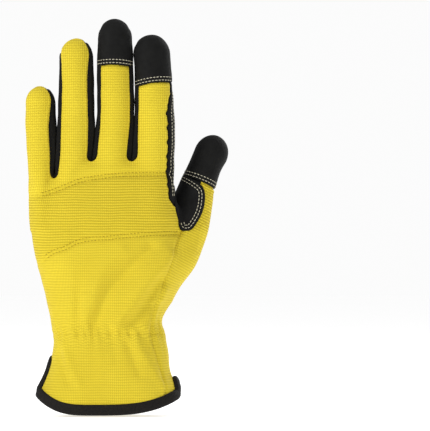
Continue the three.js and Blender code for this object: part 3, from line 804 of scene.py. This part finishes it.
def rim_height(x):
    ulnar = x < RIM_LOW_X
    side = np.where(ulnar, RIM_ULNAR[0], RIM_RADIAL[0])
    power = np.where(ulnar, RIM_ULNAR[1], RIM_RADIAL[1])
    return RIM_RISE * np.minimum(RIM_STEEPEST, ((x - RIM_LOW_X) / (side - RIM_LOW_X)) ** power)


def inside_edge(p):
    """Distance in from the cuff's edge, from its slit and from the notch."""
    x, y, z = p.T
    slit = np.where(x < SLIT_TO_X, outline_distance(y, z, np.array(SLIT, float)), FAR)
    notch = np.where(x > NOTCH_FROM_X, outline_distance(y, z, np.array(SIDE_NOTCH, float)), FAR)
    return np.minimum(z - rim_height(x), np.minimum(slit, notch))


def palm_patch_region(p, outline):
    x, y, z = p.T
    inside = outline_distance(x, z, rounded_outline(outline))
    return inside_all(inside, PATCH_FROM_Y - y, palm_region(p) + PATCH_INSET)


def saddle_region(p):
    x, y, z = p.T
    return np.maximum(outline_distance(x, z, rounded_outline(SADDLE_PATCH)), y - SADDLE_TO_Y)


def pull_tab_region(p):
    x, y, z = p.T
    return np.maximum(outline_distance(x, z, rounded_outline(PULL_TAB)), -y)


def tab_foot(p):
    """How far the pull tab's foot dips, to go under the tape."""
    return -fall(p[:, 2], *TAB_FOOT)


# How the cloth lies: what its surface stands out from or sinks into the form


def quilted_band(x, z):
    """One between the two lines across the back, and zero beyond them."""
    upper, lower = np.array(QUILT_UPPER).T, np.array(QUILT_LOWER).T
    below = smoothstep(np.interp(x, *upper) - z, *QUILT_EDGE)
    above = smoothstep(z - np.interp(x, *lower), *QUILT_EDGE)
    return below * above


def quilting(p):
    """The sewn rows across the back, sunk into the cloth, and the padding between them."""
    x, y, z = p.T
    (groove, groove_width), (dip, dip_width) = QUILT_GROOVE, QUILT_DIP
    sunk = np.zeros(len(x))
    for line in (QUILT_UPPER, QUILT_LOWER):
        distance = line_distance(x, z, rounded(line))
        sunk -= groove * bell(distance - QUILT_ROWS / 2, groove_width)
        sunk -= dip * bell(distance, dip_width)
    on_back = smoothstep(parting(x, z) - y, *QUILT_ON_BACK)
    fading = QUILT_AT_SIDE + smoothstep(x - ulnar_edge(z), *QUILT_SIDE_FADE, 1 - QUILT_AT_SIDE)
    return on_back * fading * (sunk + QUILT_PADDING * quilted_band(x, z))


def folds(p):
    x, y, z = p.T
    height = np.zeros(len(x))
    for table, facing in ((BACK_FOLDS, -y), (PALM_FOLDS, y)):
        near = smoothstep(facing, *FOLDS_FADE)
        for line, width, rise in table:
            line = rounded(line) if len(line) > 2 else line
            height += near * rise * bell(line_distance(x, z, line), width)
    return height


def round_wrist(p):
    """The way round the wrist, uneven as the elastic draws the cloth."""
    x, y, z = p.T
    around = np.arctan2(y * WRIST_FLATNESS, x)
    wander = 1.3 * np.sin(4 * around + 1) + 0.8 * np.sin(9 * around + 0.09 * z)
    return around, WRIST_RADIUS * around + wander, wander


def gathers(p):
    """The small folds that the elastic draws round the wrist, closest at its lines of stitching."""
    y, z = p[:, 1], p[:, 2]
    around, run, wander = round_wrist(p)
    off = z - ELASTIC_ROWS[0]
    ruffle = np.sin(2 * math.pi * (run + 0.16 * off) / GATHER_PITCH)
    fold = np.sin(2 * math.pi * (run + 0.7 * wander) / WRIST_FOLD_PITCH + 1)
    uneven = 0.7 + 0.3 * np.sin(3 * around + 2) * np.sin(8 * around)
    facing = smoothstep(np.abs(y), *DIMPLED_Y)
    depth, change, width = DIMPLE
    height = WRIST_FOLD_HEIGHT * fold * uneven * bell(off, np.where(off > 0, *WRIST_FOLD_REACH))
    for row, share in zip(ELASTIC_ROWS, (1, smoothstep(y, *SECOND_ROW_Y))):
        dimple = (depth + change * np.sin(4 * math.pi * run / GATHER_PITCH)) * bell(z - row, width)
        gathered = GATHER_HEIGHT * ruffle * uneven * bell(z - row, GATHER_REACH)
        height += share * (gathered - (0.3 + 0.7 * facing) * dimple)
    return height


def rib_ripple(p):
    """How far the elastic pulls the ribs up and down."""
    _, run, wander = round_wrist(p)
    off = p[:, 2] - ELASTIC_ROWS[0]
    slow_pitch, quick_pitch = RIPPLE_PITCHES
    slow = np.sin(2 * math.pi * (run + 0.5 * off) / slow_pitch)
    quick = np.sin(2 * math.pi * (run + 2 * wander - 0.35 * off) / quick_pitch)
    return RIPPLE * (0.8 * slow + 0.7 * quick) * bell(off + 1, RIPPLE_REACH)


def undulation(p):
    """The slight unevenness that cloth has everywhere."""
    x, y, z = p.T
    broad = np.sin(0.11 * x + 0.07 * z + 1) * np.sin(0.083 * z - 0.05 * y + 2)
    finer = np.sin(0.27 * x - 0.19 * z + 0.5 * np.sin(0.11 * z)) * np.sin(0.21 * z + 0.17 * y)
    return 0.3 * broad + 0.15 * finer


def lie(p):
    return quilting(p) + folds(p) + gathers(p) + undulation(p)


def sunk_at_seams(points, seam, lift, slot):
    """How far a piece's face sinks or rises beside its seams, from its points' distances to them."""
    profile = LAPPED_SEAM if lift > 0 else SEWN_SEAM
    sunk = sum(rise * bell(seam - middle, width) for rise, middle, width in profile)
    if slot == "stretch_fabric":
        down_the_side = smoothstep(points[:, 0], *SOFT_SEAM_X) * fall(points[:, 2], *SOFT_SEAM_Z)
        sunk = sunk * (1 - SOFT_SEAM * down_the_side)
    return sunk


def swelling(p, k):
    """How far the sides of finger k and the next swell to touch each other near their roots."""
    x, z = p[:, 0], p[:, 2]
    gap = np.abs(x - between_fingers(k, z)) - TOUCH_CLEARANCE
    near_roots = smoothstep(z, *TOUCH_FROM) * fall(z, TOUCH_TO[k], TOUCH_TO[k] + TOUCH_FADE)
    return (gap - undulation(p)) * fall(gap, *TOUCH_GAP) * near_roots


OWN_SHAPES = {"pull_tab": tab_foot, **{name: partial(swelling, k=k) for k, name in enumerate(GUSSETS)}}


# Pieces


def add_object(name, data):
    made = bpy.data.objects.new(name, data)
    bpy.context.scene.collection.objects.link(made)
    return made


def make_piece(name, points, faces, material, node=None, attributes=None):
    """A mesh object from points in millimetres. It hides the node of the solids that it takes the place of,
    if one is named.
    """
    mesh = bpy.data.meshes.new(name)
    mesh.from_pydata((points * MM).tolist(), [], faces.tolist())
    mesh.update()
    mesh.polygons.foreach_set("use_smooth", np.ones(len(mesh.polygons), bool))
    for key, values in (attributes or {}).items():
        layer = mesh.attributes.new(key, "FLOAT", "POINT")
        layer.data.foreach_set("value", np.ascontiguousarray(values, np.float32))
    mesh.materials.append(material)
    piece = add_object(name, mesh)
    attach(piece, "root")
    if node:
        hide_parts(node)


def thicken(points, normals, triangles):
    """A closed shell: the surface, a copy of it further in, and a band round each edge."""
    number = len(points)
    a, b = boundary_edges(triangles).T
    band = [np.column_stack([b, a, a + number]), np.column_stack([b, a + number, b + number])]
    faces = np.concatenate([triangles, triangles[:, ::-1] + number, *band])
    return np.concatenate([points, points - normals * CLOTH]), faces


def point_tree(points):
    tree = KDTree(len(points))
    for number, point in enumerate(points):
        tree.insert(Vector(point), number)
    tree.balance()
    return tree


def seam_distance(tree, points):
    return np.array([min(SEAM_REACH, tree.find(Vector(p))[2]) for p in points])


def cloth_coordinates(p, along_thumb):
    """The ribs' coordinate up the cloth, and the wales' across it."""
    x, y, z = p.T
    along, _, _ = thumb_coordinates(p)
    share = smoothstep(z, *THUMB_RIBS_Z) if along_thumb else 0
    rib = z * (1 - share) + (along + THUMB_RIBS_START) * share
    from_face = np.minimum(y + BODY_TABLE.at("back", z), BODY_TABLE.at("palm", z) - y)
    round_side = np.sign(x) * smoothstep(np.abs(x), *SIDE_WALES_X) * np.maximum(from_face, 0)
    return rib + rib_ripple(p), x + round_side * fall(z, *SIDE_WALES_Z)


def add_panel(node, ending, mesh, seams, material, slot, highlit_edges=None):
    """One panel or patch, named after its node, and sunk at its seams. Returns its outer face."""
    points, triangles = mesh
    normals = normals_at(points)
    lift = LIFTS.get(node, 0)
    sunk = sunk_at_seams(points, seam_distance(seams, points), lift, slot)
    if node in OWN_SHAPES:
        sunk = sunk + OWN_SHAPES[node](points)
    surface = points + normals * (lie(points) + lift + sunk)[:, None]
    shell, faces = thicken(surface, normals, triangles)
    rib, wale = cloth_coordinates(points, node == "side_panel")
    columns = {"rib": rib, "wale": wale, "band": quilted_band(points[:, 0], points[:, 2])}
    if highlit_edges:
        # a painted highlight along the turned edges of the strips between the fingers, on the palm side
        # only, kept as the attribute edge
        middle, width = EDGE_HIGHLIGHT_BAND
        edge_highlight = bell(seam_distance(highlit_edges, points) - middle, width)
        columns["edge"] = edge_highlight * smoothstep(points[:, 1], *EDGE_HIGHLIGHT_Y)
    attributes = {key: np.tile(column, 2) for key, column in columns.items()}
    make_piece(node + ending, shell, faces, material, node, attributes)
    return surface, triangles


def chain(edges):
    """The closed loops that directed edges make, the longest first."""
    following = {int(a): int(b) for a, b in edges}
    loops = []
    while following:
        start, at = next(iter(following.items()))
        loop = [start]
        del following[start]
        while at != start and at in following:
            loop.append(at)
            at = following.pop(at)
        loops.append(loop)
    return sorted(loops, key=len, reverse=True)


def even_loop(points, spacing):
    """The same closed loop with evenly spaced points."""
    closed = np.vstack([points, points[:1]])
    key = lengths_along(closed)
    count = int(round(key[-1] / spacing))
    return points_at(closed, key, np.arange(count) * key[-1] / count)


def tape_thickness(path):
    """How much thicker the tape is than its section, beside its openings and by the pull tab."""
    reach, by_tab = TAPE_BY_TAB
    beside_tab = bell(path[:, 0] - TAB_MIDDLE_X, reach) * (path[:, 1] > 0)
    return 1 + smoothstep(path[:, 2] - rim_height(path[:, 0]), *TAPE_OPENINGS) + by_tab * beside_tab


def add_binding(outer, material):
    """The folded tape, swept along the cuff's edge, round its slit and up its notch."""
    _, (points, triangles) = part_mesh(outer, inside_edge)
    loop = chain(boundary_edges(triangles))[0]
    path = smoothed(even_loop(points[loop], TAPE_STEP), 6)
    normals = normals_at(path)
    tangent = unit(np.roll(path, -1, axis=0) - np.roll(path, 1, axis=0))
    inwards = np.cross(normals, tangent)
    probe = inside_edge(path + inwards) - inside_edge(path - inwards)
    inwards = unit(smoothed(inwards * np.sign(np.median(probe)), 4))
    out, depth = np.array(TAPE_SECTION).T
    out = tape_thickness(path)[:, None] * out + undulation(path)[:, None] * TAPE_UNDULATION
    rings = path[:, None] + normals[:, None] * out[:, :, None] + inwards[:, None] * depth[:, None]
    count, sides = rings.shape[:2]
    number = np.arange(count * sides).reshape(count, sides)
    onward = np.roll(number, -1, axis=0)
    quads = np.stack([number, onward, np.roll(onward, -1, axis=1), np.roll(number, -1, axis=1)], axis=-1)
    quads = quads.reshape(-1, 4)
    flat = rings.reshape(-1, 3)
    a, b, c = flat[quads[:, 0]], flat[quads[:, 1]], flat[quads[:, 2]]
    if np.einsum("ij,ij->i", a, np.cross(b, c)).sum() < 0:
        quads = quads[:, ::-1]
    attributes = {"run": np.repeat(np.arange(count) * TAPE_STEP, sides)}
    make_piece("cuff_binding_tape", flat, quads, material, "cuff_binding", attributes)


# Stitches


def stitch_shape():
    """One stitch lying along x: points and triangles of a stretched ball."""
    rings, sides = 5, 6
    points = [(-1, 0, 0)]
    for angle in (math.pi * r / rings for r in range(1, rings)):
        ring = math.sin(angle) ** 0.6
        for turn in (2 * math.pi * s / sides for s in range(sides)):
            points.append((-math.cos(angle), ring * math.cos(turn), ring * math.sin(turn)))
    points.append((1, 0, 0))
    end, last = len(points) - 1, 1 + (rings - 2) * sides
    faces = []
    for s, following in enumerate((*range(1, sides), 0)):
        faces += [(0, 1 + following, 1 + s), (end, last + s, last + following)]
        for first in range(1, last, sides):
            a, b = first + s, first + following
            faces += [(a, b, b + sides), (a, b + sides, a + sides)]
    return np.array(points, float), np.array(faces)


STITCH_POINTS, STITCH_FACES = stitch_shape()


def add_stitches(name, rows, material, size=STITCH_SIZE):
    """Rows of stitches. A row is points on the cloth and the cloth's normals there."""
    length, thick = size
    ball = STITCH_POINTS[None, :, :, None]
    stitches = []
    for points, normals in rows:
        key = lengths_along(points)
        if key[-1] < STITCH_PITCH:
            continue
        at = np.arange(STITCH_PITCH / 2, key[-1], STITCH_PITCH)
        before, after = points_at(points, key, at - length / 2), points_at(points, key, at + length / 2)
        half = np.linalg.norm(after - before, axis=1, keepdims=True) / 2
        run = unit(after - before)
        side = unit(np.cross(points_at(normals, key, at), run))
        up = np.cross(run, side)
        stitches.append(
            (before + after)[:, None] / 2
            + ball[:, :, 0] * (run * half)[:, None]
            + ball[:, :, 1] * (side * thick)[:, None]
            + (ball[:, :, 2] * thick + STITCH_LIFT) * up[:, None]
        )
    stitches = np.concatenate(stitches)
    first = np.arange(len(stitches)) * len(STITCH_POINTS)
    faces = first[:, None, None] + STITCH_FACES
    make_piece(name, stitches.reshape(-1, 3), faces.reshape(-1, 3), material)


class Cloth:
    """Finds the outer face of finished pieces, to sew stitches on."""

    def __init__(self, surfaces):
        points, triangles, start = [], [], 0
        for surface, faces in surfaces:
            points.append(surface)
            triangles.append(faces + start)
            start += len(surface)
        self.tree = BVHTree.FromPolygons(np.concatenate(points).tolist(), np.concatenate(triangles).tolist())

    def hit(self, origins, directions):
        """Where rays meet the cloth's face: points and normals, without the rays that miss it."""
        points, normals = [], []
        for origin, direction in zip(origins, directions):
            point, normal, _, _ = self.tree.ray_cast(Vector(origin), Vector(direction))
            if point is not None and normal.dot(Vector(direction)) < 0:
                points.append(tuple(point))
                normals.append(tuple(normal))
        return np.array(points).reshape(-1, 3), np.array(normals).reshape(-1, 3)

    def along(self, line, side):
        """A line of [x, z] laid on the cloth, seen from the back (side -1) or the palm (side 1)."""
        line = np.array(line, float)
        origins = np.column_stack([line[:, 0], np.full(len(line), side * FACE_RAY), line[:, 1]])
        return self.hit(origins, np.tile((0, -side, 0), (len(line), 1)))

    def beside_all(self, line, insets, side):
        """Rows on the cloth, each beside the same line."""
        return [self.along(beside(line, inset), side) for inset in insets]


def even_line(line, spacing=ROW_STEP):
    line = np.array(line, float)
    key = lengths_along(line)
    return points_at(line, key, np.arange(0, key[-1], spacing))


def beside(line, distance):
    """A line parallel to another, at a distance to its left."""
    line = even_line(line)
    run = unit(np.gradient(line, axis=0))
    return line + distance * np.column_stack([-run[:, 1], run[:, 0]])


def cap_row(name, start, up):
    """A line across a finger's back, at a height above the edge of its cap."""
    table = FINGER_TABLES[name]
    x = table.at("x", start) + table.at("wide", start) * np.sin(np.linspace(-CAP_ROW_TURN, CAP_ROW_TURN, 60))
    return np.column_stack([x, cap_edge(name, start, x) + up])


def thumb_row(cloth, along):
    """A line round the thumb."""
    turn = np.linspace(0, 2 * math.pi, 120)[:, None]
    centre = THUMB_ROOT + along * THUMB_AXIS + THUMB_TABLE.at("out", along) * THUMB_OUT
    away = np.cos(turn) * THUMB_OUT + np.sin(turn) * THUMB_DEEP
    return cloth.hit(centre + THUMB_RAY * away, -away)


def index_side_row(cloth, offset):
    """A line up the index finger's side, at a depth from the fingers' centre line."""
    z = np.arange(INDEX_STRIP_FROM + STRIP_ROW_ENDS, INDEX_CAP_FROM - STRIP_ROW_ENDS, ROW_STEP)
    table = FINGER_TABLES["index"]
    y = curl(table.at("x", z), z) + offset + smoothstep(z, *STRIP_SIDE_TURN)
    origins = np.column_stack([table.at("x", z) + table.at("wide", z) + SIDE_RAY, y, z])
    return cloth.hit(origins, np.tile((-1, 0, 0), (len(z), 1)))


def outline_part(outline, start, end, steps=6):
    """A smooth outline between two of its coarse points, named by their numbers."""
    return rounded_outline(outline, steps)[start * steps:end * steps + 1]


def on_the_palm(rows):
    """Rows without what lies past the leather's edge, on the side of the hand."""
    kept = []
    for points, normals in rows:
        inside = palm_region(points) < -STITCHES_FROM_EDGE
        kept.append((points[inside], normals[inside]))
    return kept


def add_all_stitches(cloth):
    pale = thread("pale_thread", PALE_SHADES)
    golden = thread("golden_thread", GOLDEN_SHADES)

    rows = cloth.beside_all(outline_part(PALM_PATCH, 0, 14), PALM_PATCH_ROWS, 1)
    rows += cloth.beside_all(outline_part(HEEL_PATCH, 0, 11), HEEL_PATCH_ROWS, 1)
    add_stitches("palm_stitches", on_the_palm(rows), pale)

    rows = cloth.beside_all(PALM_HEM, [HEM_INSET], 1)
    add_stitches("hem_stitches", on_the_palm(rows), pale)

    rows = cloth.beside_all(outline_part(SADDLE_PATCH, 2, 8), SADDLE_ROWS, -1)
    add_stitches("saddle_stitches", rows, pale)

    rows = cloth.beside_all(THUMB_SEAM, THUMB_SEAM_ROWS, 1)
    rows += [cloth.along(even_line(side, TACK_STEP), 1) for side in BAR_TACK]
    add_stitches("thumb_seam_stitches", rows, pale)

    rows = [thumb_row(cloth, THUMB_CAP_FROM + up) for up in CAP_ROWS]
    for name, start in (("middle", MIDDLE_CAP_FROM), ("index", INDEX_CAP_FROM)):
        rows += [cloth.along(cap_row(name, start, up), -1) for up in CAP_ROWS]
    add_stitches("cap_stitches", rows, pale)

    rows = [index_side_row(cloth, INDEX_STRIP_BACK + inset) for inset in STRIP_SIDE_ROWS]
    rows += cloth.beside_all(rounded(STRIP_ROW, 6), [-inset for inset in STRIP_PALM_ROWS], 1)
    add_stitches("index_side_stitches", rows, pale)

    rows = []
    for line in (QUILT_UPPER, QUILT_LOWER):
        rows += cloth.beside_all(rounded(line)[3:], (-QUILT_ROWS / 2, QUILT_ROWS / 2), -1)
    add_stitches("quilt_stitches", rows, golden, QUILT_STITCH_SIZE)


# Materials


class Look:
    """A material whose colour and relief are built from nodes."""

    def __init__(self, name, roughness):
        self.material = bpy.data.materials.new(name)
        self.material.use_nodes = True
        self.tree = self.material.node_tree
        self.shader = self.tree.nodes["Principled BSDF"]
        self.set("Roughness", roughness)
        self.set("Specular IOR Level", 0.12)

    def set(self, name, value):
        """Sets an input of the shader."""
        self.put(self.shader.inputs[name], value)

    def put(self, socket, value):
        """Gives a socket a number or a colour, or links another node's output to it."""
        if isinstance(value, bpy.types.NodeSocket):
            self.tree.links.new(value, socket)
        elif isinstance(value, tuple):
            socket.default_value = (*value, 1)
        else:
            socket.default_value = value

    def node(self, kind, inputs=(), **settings):
        made = self.tree.nodes.new("ShaderNode" + kind)
        for name, value in settings.items():
            setattr(made, name, value)
        for key, value in dict(inputs).items():
            self.put(made.inputs[key], value)
        return made

    def math(self, operation, *values):
        return self.node("Math", enumerate(values), operation=operation).outputs[0]

    def wave(self, value, pitch):
        return self.math("SINE", self.math("MULTIPLY", value, 2 * math.pi / pitch))

    def attribute(self, name):
        return self.node("Attribute", attribute_name=name).outputs["Fac"]

    def noise(self, scale, detail, roughness=0.5):
        """Noise over the object's own coordinates. scale is per millimetre."""
        place = self.node("TexCoord").outputs["Object"]
        inputs = {"Vector": place, "Scale": scale / MM, "Detail": detail, "Roughness": roughness}
        return self.node("TexNoise", inputs).outputs["Fac"]

    def ramp(self, value, places, shades):
        made = self.node("ValToRGB", {"Fac": value})
        for element, place, colour in zip(made.color_ramp.elements, places, shades):
            element.position = place
            element.color = (*colour, 1)
        return made.outputs["Color"]

    def mix(self, share, a, b, blend="MIX"):
        return self.node("Mix", {0: share, 6: a, 7: b}, data_type="RGBA", blend_type=blend).outputs[2]

    def finish(self, colour, relief, depth):
        """Adds the colour and the relief, which is so many millimetres deep."""
        bump = self.node("Bump", {"Strength": 1.0, "Distance": depth * MM, "Height": relief})
        self.set("Normal", bump.outputs["Normal"])
        self.set("Base Color", colour)
        return self.material


EDGE_HIGHLIGHT = (0.055, 0.055, 0.052)  # painted highlight along the turned edges beside the strips between the fingers, lighter than the black cloth
YELLOW_CREST = (0.785, 0.625, 0.04)
# the colour painted in the rib grooves as shade
YELLOW_GROOVE_SHADE = (0.46, 0.34, 0.014)
YELLOW_MOTTLE = ((0.94, 0.93, 0.9), (1.0, 1.0, 1.0))
LEATHER_SHADES = ((0.004, 0.004, 0.0038), (0.010, 0.010, 0.0095))
# the knit's hollows and crests: darker in the hollows as painted shade
KNIT_PAINTED_SHADE_RAMP = ((0.005, 0.005, 0.005), (0.012, 0.0115, 0.011))
TAPE_SHADES = ((0.006, 0.0055, 0.005), (0.014, 0.012, 0.0105))
PALE_SHADES = ((0.44, 0.41, 0.30), (0.62, 0.58, 0.44))
GOLDEN_SHADES = ((0.28, 0.2, 0.01), (0.44, 0.32, 0.018))
RIB_PITCH = 1.66
WALE_PITCH = 1.3
KNIT_PITCHES = (0.9, 0.8)


def stretch_fabric():
    """Yellow cloth with fine ribs across it, painted darker in the rib grooves and along the wales as shade.
    """
    look = Look("stretch_fabric", 0.78)
    wobble = look.math("MULTIPLY", look.math("SUBTRACT", look.noise(0.05, 1.0), 0.5), 1.4)
    rib = look.wave(look.math("ADD", look.attribute("rib"), wobble), RIB_PITCH)
    wale = look.wave(look.attribute("wale"), WALE_PITCH)
    rib_height = look.math("POWER", look.math("MULTIPLY_ADD", rib, 0.5, 0.5), 0.6)
    wale_height = look.math("MULTIPLY_ADD", wale, 0.5, 0.5)
    strength = look.math("MULTIPLY_ADD", look.attribute("band"), 0.44, 0.56)
    height = look.math("MULTIPLY", rib_height, strength)
    height = look.math("MULTIPLY_ADD", wale_height, 0.4, height)
    height = look.math("MULTIPLY_ADD", look.noise(1.6, 2.0), 0.25, height)
    # darker in the rib grooves, more so in the quilted band, as painted shade
    rib_groove_shade = look.math("MULTIPLY", look.math("SUBTRACT", 1.0, rib_height), strength)
    base = look.mix(rib_groove_shade, YELLOW_CREST, YELLOW_GROOVE_SHADE)
    # darker along the wales too, as painted shade
    wale_shade = look.mix(look.math("MULTIPLY", wale_height, 0.42), base, YELLOW_GROOVE_SHADE)
    broad = look.ramp(look.noise(0.03, 2.0), (0.3, 0.7), YELLOW_MOTTLE)
    look.set("Sheen Weight", 0.1)
    look.set("Sheen Roughness", 0.5)
    look.set("Sheen Tint", (1.0, 0.9, 0.45))
    return look.finish(look.mix(1.0, wale_shade, broad, "MULTIPLY"), height, 0.25)


def synthetic_leather():
    """Black suede-like leather with a fine nap, painted lighter along the turned edges beside the finger
    strips as a highlight.
    """
    look = Look("synthetic_leather", 0.72)
    nap = look.noise(2.4, 4.0, 0.7)
    shade = look.math("MULTIPLY_ADD", look.noise(0.22, 3.0), 0.6, look.math("MULTIPLY", nap, 0.4))
    colour = look.ramp(shade, (0.3, 0.75), LEATHER_SHADES)
    look.set("Sheen Weight", 0.02)
    look.set("Sheen Roughness", 0.4)
    # lighter along the turned edges as a painted highlight
    return look.finish(look.mix(look.attribute("edge"), colour, EDGE_HIGHLIGHT), nap, 0.14)


def gusset_fabric():
    """Black stretch cloth with a fine knit, painted darker in the knit's hollows as shade."""
    look = Look("gusset_fabric", 0.8)
    rib_pitch, wale_pitch = KNIT_PITCHES
    rib, wale = look.wave(look.attribute("rib"), rib_pitch), look.wave(look.attribute("wale"), wale_pitch)
    height = look.math("MULTIPLY_ADD", look.math("MULTIPLY", rib, wale), 0.5, 0.5)
    # darker where the knit is low, as painted shade
    colour = look.ramp(height, (0.0, 1.0), KNIT_PAINTED_SHADE_RAMP)
    # lighter along the turned edges as a painted highlight
    return look.finish(look.mix(look.attribute("edge"), colour, EDGE_HIGHLIGHT), height, 0.15)


def binding_tape():
    """Black tape with fine ribs across it."""
    look = Look("binding_tape", 0.7)
    fuzz = look.noise(1.2, 3.0)
    height = look.math("MULTIPLY_ADD", look.wave(look.attribute("run"), TAPE_STEP), 0.25, fuzz)
    return look.finish(look.ramp(fuzz, (0.3, 0.7), TAPE_SHADES), height, 0.12)


def thread(name, shades):
    look = Look(name, 0.6)
    twist = look.noise(2.0, 2.0)
    return look.finish(look.ramp(twist, (0.3, 0.65), shades), twist, 0.08)


# Building


def panel_meshes(outer):
    """The form parted along the seams: each panel is cut from what those before it leave."""
    gussets = {}
    for k, (name, sides) in enumerate(GUSSETS.items()):
        gussets[name] = partial(gusset_region, k=k, sides=sides)
    regions = {
        "thumb_cap": thumb_cap_region,
        "side_panel": side_panel_region,
        "thumb_front": thumb_front_region,
        "index_side_strip": index_strip_region,
        **gussets,
        "middle_cap": partial(cap_region, name="middle", start=MIDDLE_CAP_FROM),
        "index_cap": partial(cap_region, name="index", start=INDEX_CAP_FROM),
        "cuff_front": cuff_front_region,
        "back_panel": back_region,
    }
    _, wall = part_mesh(outer, lambda p: inside_edge(p) - WALL_END)
    panels = {}
    for name, region in regions.items():
        panels[name], wall = part_mesh(wall, region)
    panels["palm_panel"] = wall
    return panels


def build_glove():
    leather = synthetic_leather()
    outer = form_mesh()
    panels = panel_meshes(outer)
    edges = np.concatenate([edge_points(mesh) for mesh in panels.values()])
    seams = point_tree(edges[inside_edge(edges) > WALL_END + 0.5])
    # where the painted edge highlight runs: along the edges of the strips between the fingers
    highlit_edges = point_tree(np.concatenate([edge_points(panels[name]) for name in GUSSETS]))

    layers = {
        "palm_patch": partial(palm_patch_region, outline=PALM_PATCH),
        "heel_patch": partial(palm_patch_region, outline=HEEL_PATCH),
        "saddle_patch": saddle_region,
        "pull_tab": pull_tab_region,
    }
    of_leather = ("thumb_cap", "middle_cap", "index_cap", "thumb_front", "index_side_strip", "palm_panel")
    cloths = (
        ("stretch_fabric", stretch_fabric(), ("side_panel", "cuff_front", "back_panel")),
        ("synthetic_leather", leather, of_leather),
        ("gusset_fabric", gusset_fabric(), GUSSETS),
    )
    surfaces = []
    for name, region in layers.items():
        mesh, _ = part_mesh(outer, region)
        edge = point_tree(edge_points(mesh))
        surfaces.append(add_panel(name, "_layer", mesh, edge, leather, "synthetic_leather"))
    for slot, material, names in cloths:
        for name in names:
            highlit = highlit_edges if name in GUSSETS or name == "palm_panel" else None
            surfaces.append(add_panel(name, "_cloth", panels[name], seams, material, slot, highlit))
    add_binding(outer, binding_tape())
    add_all_stitches(Cloth(surfaces))


# The stage, in metres

FLOOR_REACH = 6.0
FLOOR_Z = -0.001
AIM = (0.01, 0, 0.13)
LIGHTS = (  # name, place, size and power
    ("key", (-1.5, -1.15, 1.1), 0.6, 25),
    ("fill", (1.5, -1.5, 0.8), 1.4, 7),
    ("back", (1.3, 1.4, 1.0), 0.9, 16),
    ("top", (0.3, 0.3, 1.9), 1.2, 7),
)
AMBIENT = 0.36
BACKDROP = 0.97
PHOTO_MM_PER_PIXEL = 0.6313
PHOTO_SIZE = (430, 431)
GLOVE_AXIS_PIXEL = 108  # where x = 0 falls in the photograph
GLOVE_FOOT_PIXEL = 415  # and z = 0
CAMERA_DISTANCE = 4.0
NEAR_SIDE = 0.012  # the scale is true this far in front of the glove's middle


def make_floor():
    mesh = bpy.data.meshes.new("floor")
    corners = [(x * FLOOR_REACH, y * FLOOR_REACH, 0) for x, y in ((-1, -1), (1, -1), (1, 1), (-1, 1))]
    mesh.from_pydata(corners, [], [(0, 1, 2, 3)])
    floor = add_object("floor", mesh)
    floor.location.z = FLOOR_Z
    look = Look("floor", 0.9)
    look.set("Base Color", (0.9, 0.9, 0.9))
    look.set("Emission Color", (1, 1, 1))
    look.set("Emission Strength", 0.64)
    mesh.materials.append(look.material)


def make_lights():
    for name, place, size, power in LIGHTS:
        data = bpy.data.lights.new(name, "AREA")
        data.size = size
        data.energy = power
        light = add_object(name, data)
        light.location = place
        light.rotation_euler = (Vector(AIM) - Vector(place)).to_track_quat("-Z", "Y").to_euler()


def make_world():
    """White behind the glove, and a weaker white as the light from all around."""
    world = bpy.data.worlds.new("studio")
    world.use_nodes = True
    tree = world.node_tree
    ambient, backdrop = tree.nodes["Background"], tree.nodes.new("ShaderNodeBackground")
    mix = tree.nodes.new("ShaderNodeMixShader")
    seen = tree.nodes.new("ShaderNodeLightPath").outputs["Is Camera Ray"]
    tree.links.new(seen, mix.inputs["Fac"])
    for number, (background, strength) in enumerate(((ambient, AMBIENT), (backdrop, BACKDROP)), 1):
        background.inputs["Color"].default_value = (1, 1, 1, 1)
        background.inputs["Strength"].default_value = strength
        tree.links.new(background.outputs[0], mix.inputs[number])
    tree.links.new(mix.outputs[0], tree.nodes["World Output"].inputs["Surface"])
    bpy.context.scene.world = world
    bpy.context.scene.view_settings.view_transform = "Standard"


def make_camera():
    data = bpy.data.cameras.new("camera")
    data.sensor_width = 36
    frame_height = max(PHOTO_SIZE) * PHOTO_MM_PER_PIXEL * MM
    data.lens = data.sensor_width * (CAMERA_DISTANCE - NEAR_SIDE) / frame_height
    camera = add_object("camera", data)
    x = (PHOTO_SIZE[0] / 2 - GLOVE_AXIS_PIXEL) * PHOTO_MM_PER_PIXEL * MM
    z = (GLOVE_FOOT_PIXEL - PHOTO_SIZE[1] / 2) * PHOTO_MM_PER_PIXEL * MM
    camera.location = (x, -CAMERA_DISTANCE, z)
    camera.rotation_euler = (math.pi / 2, 0, 0)
    bpy.context.scene.camera = camera


make_camera()
make_floor()
make_lights()
make_world()
build_glove()
